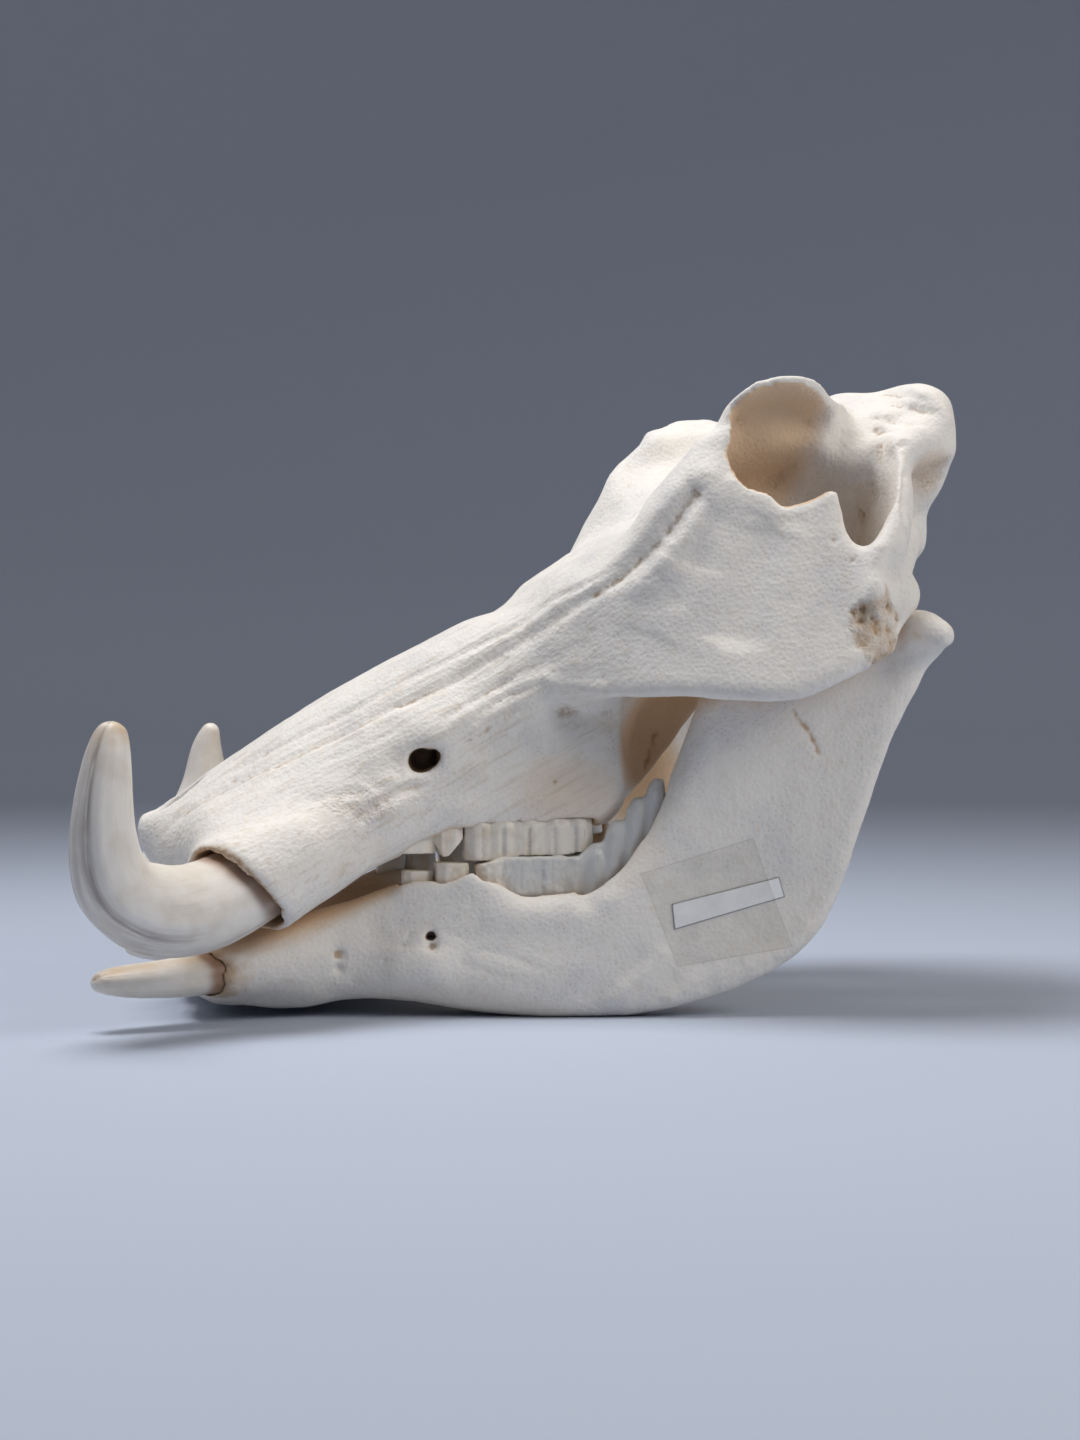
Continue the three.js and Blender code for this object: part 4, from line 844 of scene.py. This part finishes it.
def tusk(name, node_name, material):
    """A tusk from its solid, rounded, with its flats and grooves, and its streaks painted along it."""
    piece = copy_of(node_name, name)
    finish_with(piece, "SUBSURF", levels=3, render_levels=3)
    clay = Clay(piece)
    line = along(TUSK_LINES[node_name], TUSK_STEP, 500)
    tree = KDTree(len(line))
    for i, place in enumerate(line):
        tree.insert(place, i)
    tree.balance()
    nearest = np.array([tree.find(place)[1] for place in clay.places])
    tangent = np.gradient(line, axis=0)
    tangent /= np.linalg.norm(tangent, axis=1)[:, None]
    # Round the tusk, 0 degrees is its outer side and 90 degrees is its upper or rear side.
    forward = tangent[nearest]
    outward = np.array([0, 1.0 if "right" in node_name else -1.0, 0])
    front = outward - forward * (forward @ outward)[:, None]
    front /= np.linalg.norm(front, axis=1)[:, None]
    beside = np.cross(forward, front) * (-1 if "right" in node_name else 1)
    spoke = clay.places - line[nearest]
    turn = np.degrees(np.arctan2((spoke * beside).sum(1), (spoke * front).sum(1)))
    share = nearest / (len(line) - 1)
    radius = np.linalg.norm(spoke, axis=1)

    def band(middle, half):
        """A stripe along the tusk: its middle and half its width, in degrees round the tusk."""
        return np.exp(-(((turn - middle + 180) % 360 - 180) / half) ** 2)

    if node_name == "right_upper_tusk":  # its middle bows back
        height = clay.places[:, 2]
        clay.places[:, 0] += 5 * smooth_step(height, 50, 68) * (1 - smooth_step(height, 80, 106))
    facing = clay.normals()
    if "upper" in node_name:
        out = smooth_step(share, 0.3, 0.5)
        relief = 0.7 * band(-36, 20) - 0.5 * band(-10, 10) + 0.3 * band(30, 30) + 0.3 * band(-82, 14)
        clay.places -= facing * (relief * out * np.clip(radius / 12, 0.2, 1))[:, None]
        streak = 0.6 * band(-34, 11) * smooth_step(share, 0.4, 0.6)
        streak += 0.4 * band(-80, 7) * smooth_step(share, 0.4, 0.55)
        streak += 0.35 * band(-64, 5) * smooth_step(share, 0.22, 0.3) * (1 - smooth_step(share, 0.38, 0.5))
        # Painted shade: the upper tusk is greyer on its side away from the light, and a painted highlight
        # keeps the strip by the ridge clear of grey.
        grey = 0.5 * band(-62, 36) * smooth_step(share, 0.4, 0.6) - 0.3 * band(-10, 8)
        tip = smooth_step(share, 0.93, 0.985) * (0.4 + 0.4 * band(30, 60))
    else:
        stout = 1 + (0.3 if "left" in node_name else 0.05) * smooth_step(share, 0.25, 0.45)
        clay.places = line[nearest] + spoke * stout[:, None]
        relief = 0.8 * band(62, 34)
        clay.places -= facing * (relief * smooth_step(share, 0.3, 0.5))[:, None]
        streak = 0.6 * smooth_step(share, 0.92, 0.98) * band(60, 60)
        grey = 0.2 * band(-60, 40)
        tip = 0.6 * band(62, 36) * smooth_step(share, 0.35, 0.5) + 0.3 * smooth_step(share, 0.85, 0.97)
    clay.write()
    socket = BVHTree.FromObject(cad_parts["cranium" if "upper" in node_name else "lower_jaw"],
                                bpy.context.evaluated_depsgraph_get())
    root = np.zeros(len(clay.places))
    for i, place in enumerate(clay.places):
        found = socket.find_nearest(Vector(place) * MM, 9 * MM)
        if found[0] is not None:
            root[i] = math.exp(-(found[3] / MM / 3.8) ** 2)
    clay.paint(streak=streak, grey=grey, tip=tip, root=root)
    lengthwise = piece.data.attributes.new("lengthwise", "FLOAT_VECTOR", "POINT")
    angle = np.radians(turn)
    spread = [share * len(line) * TUSK_STEP, TUSK_RADIUS * np.sin(angle), TUSK_RADIUS * np.cos(angle)]
    lengthwise.data.foreach_set("vector", np.stack(spread, 1).astype(np.float32).ravel())
    settle(piece, node_name, material)
    return piece


# ---------------------------------------------------------------- cheek teeth

def crown(name, node_name, material):
    """A cheek tooth from its solid, with worn round edges, dark clefts and a stained gum line."""
    piece = copy_of(node_name, name)
    finish_with(piece, "REMESH", mode="VOXEL", voxel_size=TOOTH_GRAIN * MM)
    if node_name.endswith("lower_molar"):  # grown and shrunk again, so that its columns run together
        for growth in (1.2, -1.0):
            finish_with(piece, "DISPLACE", strength=growth * MM, mid_level=0)
            finish_with(piece, "REMESH", mode="VOXEL", voxel_size=TOOTH_GRAIN * MM)
    clay = Clay(piece)
    clay.round_off(4)
    x, y, z = clay.places.T
    low, high = z.min(), z.max()
    upper = "upper" in node_name
    molar = "molar" in node_name and "pre" not in node_name
    if upper:  # the crown stands further out than the root
        clay.places[:, 1] += 1.8 * np.sign(y) * (1 - smooth_step(z, 70, 75))
    if node_name.endswith("upper_front_premolar"):  # wider, and it hangs lower
        clay.places[:, 0] += 0.5 * (x - x.mean()) - 1
        clay.places[:, 2] -= 1.2 * (1 - smooth_step(z, low, low + 5))
    if upper and molar:  # its worn edge is lower in front and higher behind
        hang = 1.8 * (1 - smooth_step(x, -12, -6)) * (1 - smooth_step(z, 60, 66))
        rise = 1.4 * smooth_step(x, 8, 22) * (1 - smooth_step(z, 60, 66))
        clay.places[:, 2] += rise - hang
    if not molar and "right" in node_name:  # the far premolars reach further, and show in the gap
        reach = 2.4 * (1 - smooth_step(z, low, low + 5)) if upper else -2.4 * smooth_step(z, high - 5, high)
        clay.places[:, 2] -= reach
    if molar and not upper:  # worn down in front
        drop = 2.6 * (1 - smooth_step(x, -23, -12)) * smooth_step(z, 52, 60)
        clay.places[:, 2] -= drop
    clay.write()
    swell(piece, 2.5, 0.5)
    if molar and not upper:
        swell(piece, 5, 1.1)
    clay = Clay(piece)
    if molar and not upper:  # the unworn columns behind are smoother, lean back and stand taller
        loose = smooth_step(x, 15, 19)[:, None]
        clay.places += (clay.relax(clay.places, 6) - clay.places) * loose
        height = z - (46 + 1.1 * (x - 20))
        clay.places[:, 0] += 0.2 * np.clip(height, 0, 12) * loose[:, 0]
        clay.places[:, 2] += 4.5 * smooth_step(height, 2, 10) * loose[:, 0]
    clay.hold()
    clay.draw(CROWN_LINES.get(node_name.split("_", 1)[1], ()), [node_name.split("_")[0]])
    facing = clay.normals()
    dip = ((clay.relax(clay.places, 10) - clay.places) * facing).sum(1)
    x, _, z = clay.places.T
    grey = np.zeros(len(x))
    cusp = np.zeros(len(x))
    gum_line = smooth_step(z, 72.5, 74.5) if upper else 1 - smooth_step(z, 44, 48)
    stain = np.maximum(0.5 * gum_line, clay.stain)
    if molar and not upper:
        grey = np.where(x > 17, 0.95, 0.75 * smooth_step(x, -22, -8))
        slope = 62.5 + 1.12 * (x - 20)
        cusp = np.where(x > 17, smooth_step(z - slope, 0, 4), 0) * 0.8
        stain = np.where(x > 17, 0, stain)
    clay.paint(groove=smooth_step(dip, 0.12, 0.6), grey=grey, stain=stain, cusp=cusp)
    settle(piece, node_name, material)


# ---------------------------------------------------------------- bones

def walls_round(node_name):
    """All the solids but one and the label, for finding what they shelter."""
    points, faces = [], []
    for name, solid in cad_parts.items():
        if name != node_name and not name.startswith("label"):
            start = len(points)
            points += [vertex.co.copy() for vertex in solid.data.vertices]
            faces += [[start + i for i in face.vertices] for face in solid.data.polygons]
    return BVHTree.FromPolygons(points, faces)


def sheltered(clay, node_name):
    """How much of the open air each point of a bone is cut off from, from 0 to 1."""
    facing = clay.normals()
    trees = (walls_round(node_name), BVHTree.FromObject(clay.piece, bpy.context.evaluated_depsgraph_get()))
    golden = math.pi * (3 - math.sqrt(5))
    rays = []
    for i in range(DAYLIGHT_RAYS):
        height = math.sqrt(1 - (i + 0.5) / DAYLIGHT_RAYS)
        flat = math.sqrt(1 - height * height)
        rays.append((flat * math.cos(i * golden), flat * math.sin(i * golden), height))
    known = np.zeros(len(clay.places))
    value = np.zeros(len(clay.places))
    for i in range(0, len(clay.places), SHELTER_STEP):
        normal = Vector(facing[i])
        turn = normal.to_track_quat("Z", "Y")
        start = Vector(clay.places[i]) * MM + normal * SHELTER_START * MM
        closed = 0
        for ray in rays:
            hits = [tree.ray_cast(start, turn @ Vector(ray), SHELTER_REACH * MM)[3] for tree in trees]
            hits = [distance for distance in hits if distance is not None]
            if hits:
                closed += 1 - 0.6 * min(hits) / (SHELTER_REACH * MM)
        value[i] = closed / DAYLIGHT_RAYS
        known[i] = 1
    spread = clay.relax(np.stack([value, known], 1), 14)
    return clay.relax(spread[:, 0] / np.maximum(spread[:, 1], 1e-6), 3)


def bone(name, node_name, material, grain, moves, pinches, smooth_spots, lines, pits, patches, shade, tusks):
    """A bone from its solid: its facets rounded, its forms moved, then the grooves, ridges, holes, breaks and
    soil put in. The grain is the size of the cells that it is remeshed with, in millimetres."""
    piece = copy_of(node_name, name)
    finish_with(piece, "REMESH", mode="VOXEL", voxel_size=grain * MM)
    clay = Clay(piece)
    clay.round_off(24)
    clay.hold()
    clay.move(moves)
    clay.pinch(pinches)
    clay.write()
    finish_with(piece, "REMESH", mode="VOXEL", voxel_size=grain * MM)
    swell(piece, 17, 0.75)
    swell(piece, 5, 0.2)
    clay = Clay(piece)
    for patch in smooth_spots:
        clay.even(patch, 40)
    if node_name == "lower_jaw":  # the chin is lifted, and nothing goes below the floor
        x, _, z = clay.places.T
        clay.places[:, 2] += 4.5 * smooth_step(-x, 82, 112) * (1 - smooth_step(z, 0, 16))
        clay.places[:, 2] = np.maximum(clay.places[:, 2], FLOOR_GAP)
    clay.hold()
    clay.draw(lines)
    for patch, height, grit, soil in patches:
        clay.crumble(patch, height, grit, soil)
    clay.hold()
    clay.pit(pits)
    for tusk_piece, gap, rim in tusks:
        clay.stand_clear(tusk_piece, gap, rim)
    clay.places = clay.relax(clay.places, 1)
    facing = clay.normals()
    dip = ((clay.relax(clay.places, 8) - clay.places) * facing).sum(1)
    broad = ((clay.relax(clay.places, 60) - clay.places) * facing).sum(1)
    groove = smooth_step(dip, 0.1, 0.6) + 0.4 * smooth_step(broad, 0.5, 2.5)
    # Painted shade: how cut off from open air each point is, raised or lowered in the shade patches, tints
    # the bone tan; in part it is the real warm colour of unbleached bone.
    hollow = sheltered(clay, node_name)
    for middle, half, strength in shade:
        for side in SIDES:
            toward = np.array(middle) * [1, MIRROR[side], 1] - clay.places
            toward /= np.linalg.norm(toward, axis=1)[:, None]
            share = smooth_step(clay.inside((middle, half), side), 0, 0.4)
            share = share * smooth_step((toward * facing).sum(1), -0.15, 0.25)
            hollow = np.maximum(hollow, strength * share) if strength > 0 else hollow * (1 + strength * share)
    face = 1 - smooth_step(clay.places[:, 0], 0, 60)
    fibrous = face if node_name == "cranium" else np.full(len(hollow), 0.25)
    stain = clay.relax(clay.stain, 1)
    clay.paint(hollow=hollow, groove=groove, stain=stain, rough=0.12 + clay.rough, fibrous=fibrous)
    triangles = 2 * len(piece.data.polygons)
    finish_with(piece, "DECIMATE", ratio=min(1, TRIANGLES_A_BONE / triangles))
    settle(piece, node_name, material)
    return piece


# ---------------------------------------------------------------- label

def sheet(name, node_name, corners, cells, lift, material, slot, *pieces):
    """A thin leaf laid on pieces between four corners. It has so many cells each way, and is lifted off what
    is under it by so many millimetres."""
    bpy.ops.object.select_all(action="DESELECT")
    bpy.ops.mesh.primitive_grid_add(x_subdivisions=cells[0], y_subdivisions=cells[1], size=1)
    piece = bpy.context.object
    piece.name = name
    grid = numbers(piece.data.vertices, "co", 3).astype(float) + 0.5
    depsgraph = bpy.context.evaluated_depsgraph_get()
    trees = [BVHTree.FromObject(below, depsgraph) for below in pieces]
    p, q, r, s = (np.array(corner) for corner in corners)
    u, v = grid[:, :1], grid[:, 1:2]
    flat = (p * (1 - u) + q * u) * (1 - v) + (r * (1 - u) + s * u) * v
    places = []
    for x, z in flat:
        start = Vector((x, LEFT_OF_ALL, z)) * MM
        hits = [tree.ray_cast(start, Vector((0, 1, 0)))[0] for tree in trees]
        depth = min(hit.y for hit in hits if hit)
        places.append((x, depth / MM - lift, z))
    places = np.array(places)
    rows = places[:, 1].reshape(cells[1] + 1, cells[0] + 1)
    for _ in range(6):  # stretched over the small hollows
        padded = np.pad(rows, 1, mode="edge")
        even = (padded[:-2, 1:-1] + padded[2:, 1:-1] + padded[1:-1, :-2] + padded[1:-1, 2:]) / 4
        rows = np.minimum(rows, even)
    places[:, 1] = rows.ravel()
    piece.data.vertices.foreach_set("co", (places * MM).astype(np.float32).ravel())
    piece.data.update()
    ends = np.minimum(u, 1 - u) * np.linalg.norm(q - p)
    border = np.minimum(ends, np.minimum(v, 1 - v) * np.linalg.norm(r - p))
    layer = piece.data.attributes.new("ruled", "FLOAT", "POINT")
    layer.data.foreach_set("value", (border.ravel() < RULED).astype(np.float32))
    finish_with(piece, "SOLIDIFY", thickness=LEAF * MM, offset=0)
    settle(piece, node_name, material)
    return piece


# ---------------------------------------------------------------- the skull

bone_look = bleached_bone()
ivory_look = tusk_ivory()
enamel_look = tooth_enamel()
tusks = {name: tusk(f"{name}_ivory", name, ivory_look) for name in TUSK_LINES}
for side in SIDES:
    for tooth in ("upper_front_premolar", "upper_rear_premolar", "upper_molar",
                  "lower_front_premolar", "lower_rear_premolar", "lower_molar"):
        crown(f"{side}_{tooth}_crown", f"{side}_{tooth}", enamel_look)
# Each crumbled patch has its height, grit and soil, and each tusk the gap and the rim round it.
bone(
    "cranium_bone", "cranium", bone_look, grain=1.45, moves=CRANIUM_MOVES, pinches=CRANIUM_PINCHES,
    smooth_spots=SMOOTH_SPOTS, lines=CRANIUM_LINES + TOP_AND_BACK_LINES, pits=CRANIUM_PITS,
    patches=[(CRUMBLED_END, 3.4, 5.5, 0.95), (CREST_UNDERSIDE, 1.4, 4, 0.5), (FACE_PITS, 0.9, 3, 0.45)],
    shade=CRANIUM_SHADE, tusks=[(tusks[f"{side}_upper_tusk"], 0.7, 3.2) for side in SIDES],
)
jaw = bone(
    "lower_jaw_bone", "lower_jaw", bone_look, grain=1.12, moves=JAW_MOVES, pinches=(), smooth_spots=(),
    lines=JAW_LINES, pits=JAW_PITS, patches=(), shade=JAW_SHADE,
    tusks=[(tusks[f"{side}_lower_tusk"], 0.5, 2.4) for side in SIDES],
)
card = sheet("label_card_paper", "label_card", CARD_CORNERS, (64, 16), 0.2, label_paper(), "card", jaw)
sheet("label_tape_film", "label_tape", TAPE_CORNERS, (60, 52), 0.3, clear_film(), "tape", jaw, card)

# ---------------------------------------------------------------- studio

bpy.ops.object.select_all(action="DESELECT")
bpy.ops.mesh.primitive_circle_add(vertices=96, radius=2.2, fill_type="NGON")
floor = bpy.context.object
floor.name = "studio_floor"
bpy.ops.object.mode_set(mode="EDIT")
bpy.ops.mesh.select_all(action="SELECT")
bpy.ops.mesh.region_to_loop()
# The floor's edge is drawn up all round into a bowl, as a studio backdrop is.
for grow, rise in ((1.18, 0.08), (1.12, 0.3), (1.05, 0.7), (1.01, 1.4)):
    bpy.ops.mesh.extrude_edges_move(TRANSFORM_OT_translate={"value": (0, 0, rise)})
    bpy.ops.transform.resize(value=(grow, grow, 1))
bpy.ops.object.mode_set(mode="OBJECT")
backdrop, _, paper = new_material("matt_backdrop_paper")
paper.inputs["Base Color"].default_value = linear("#B9C1D0")
paper.inputs["Roughness"].default_value = 0.85
floor.data.materials.append(backdrop)
bpy.ops.object.shade_smooth()


def softbox(name, place, aim, size, watts, colour):
    """A square diffused lamp hung at a place and turned to what it lights."""
    lamp = bpy.data.lights.new(name, "AREA")
    lamp.shape = "SQUARE"
    lamp.size = size
    lamp.energy = watts
    lamp.color = linear(colour)[:3]
    holder = bpy.data.objects.new(name, lamp)
    bpy.context.scene.collection.objects.link(holder)
    holder.location = place
    holder.rotation_euler = (Vector(aim) - Vector(place)).to_track_quat("-Z", "Y").to_euler()


softbox("top_softbox", (-0.3, 0.1, 1.15), aim=(-0.02, 0, 0.12), size=0.6, watts=11.5, colour="#F8F9FC")
softbox("side_softbox", (1, -0.75, 0.85), aim=(0, 0, 0.12), size=0.6, watts=7.5, colour="#FFFBF5")
world = bpy.data.worlds.new("studio_air")
world.use_nodes = True
world.node_tree.nodes["Background"].inputs["Color"].default_value = linear("#EAE8E6")
world.node_tree.nodes["Background"].inputs["Strength"].default_value = 0.31
bpy.context.scene.world = world
bpy.context.scene.view_settings.view_transform = "Standard"

camera = bpy.data.objects.new("camera", bpy.data.cameras.new("camera"))
bpy.context.scene.collection.objects.link(camera)
camera.location = (-0.16961, -0.84716, 0.1111)
camera.rotation_euler = (math.radians(90), 0, math.radians(-12))
camera.data.lens = 54.1
camera.data.sensor_width = 36
camera.data.clip_start = 0.01
bpy.context.scene.camera = camera
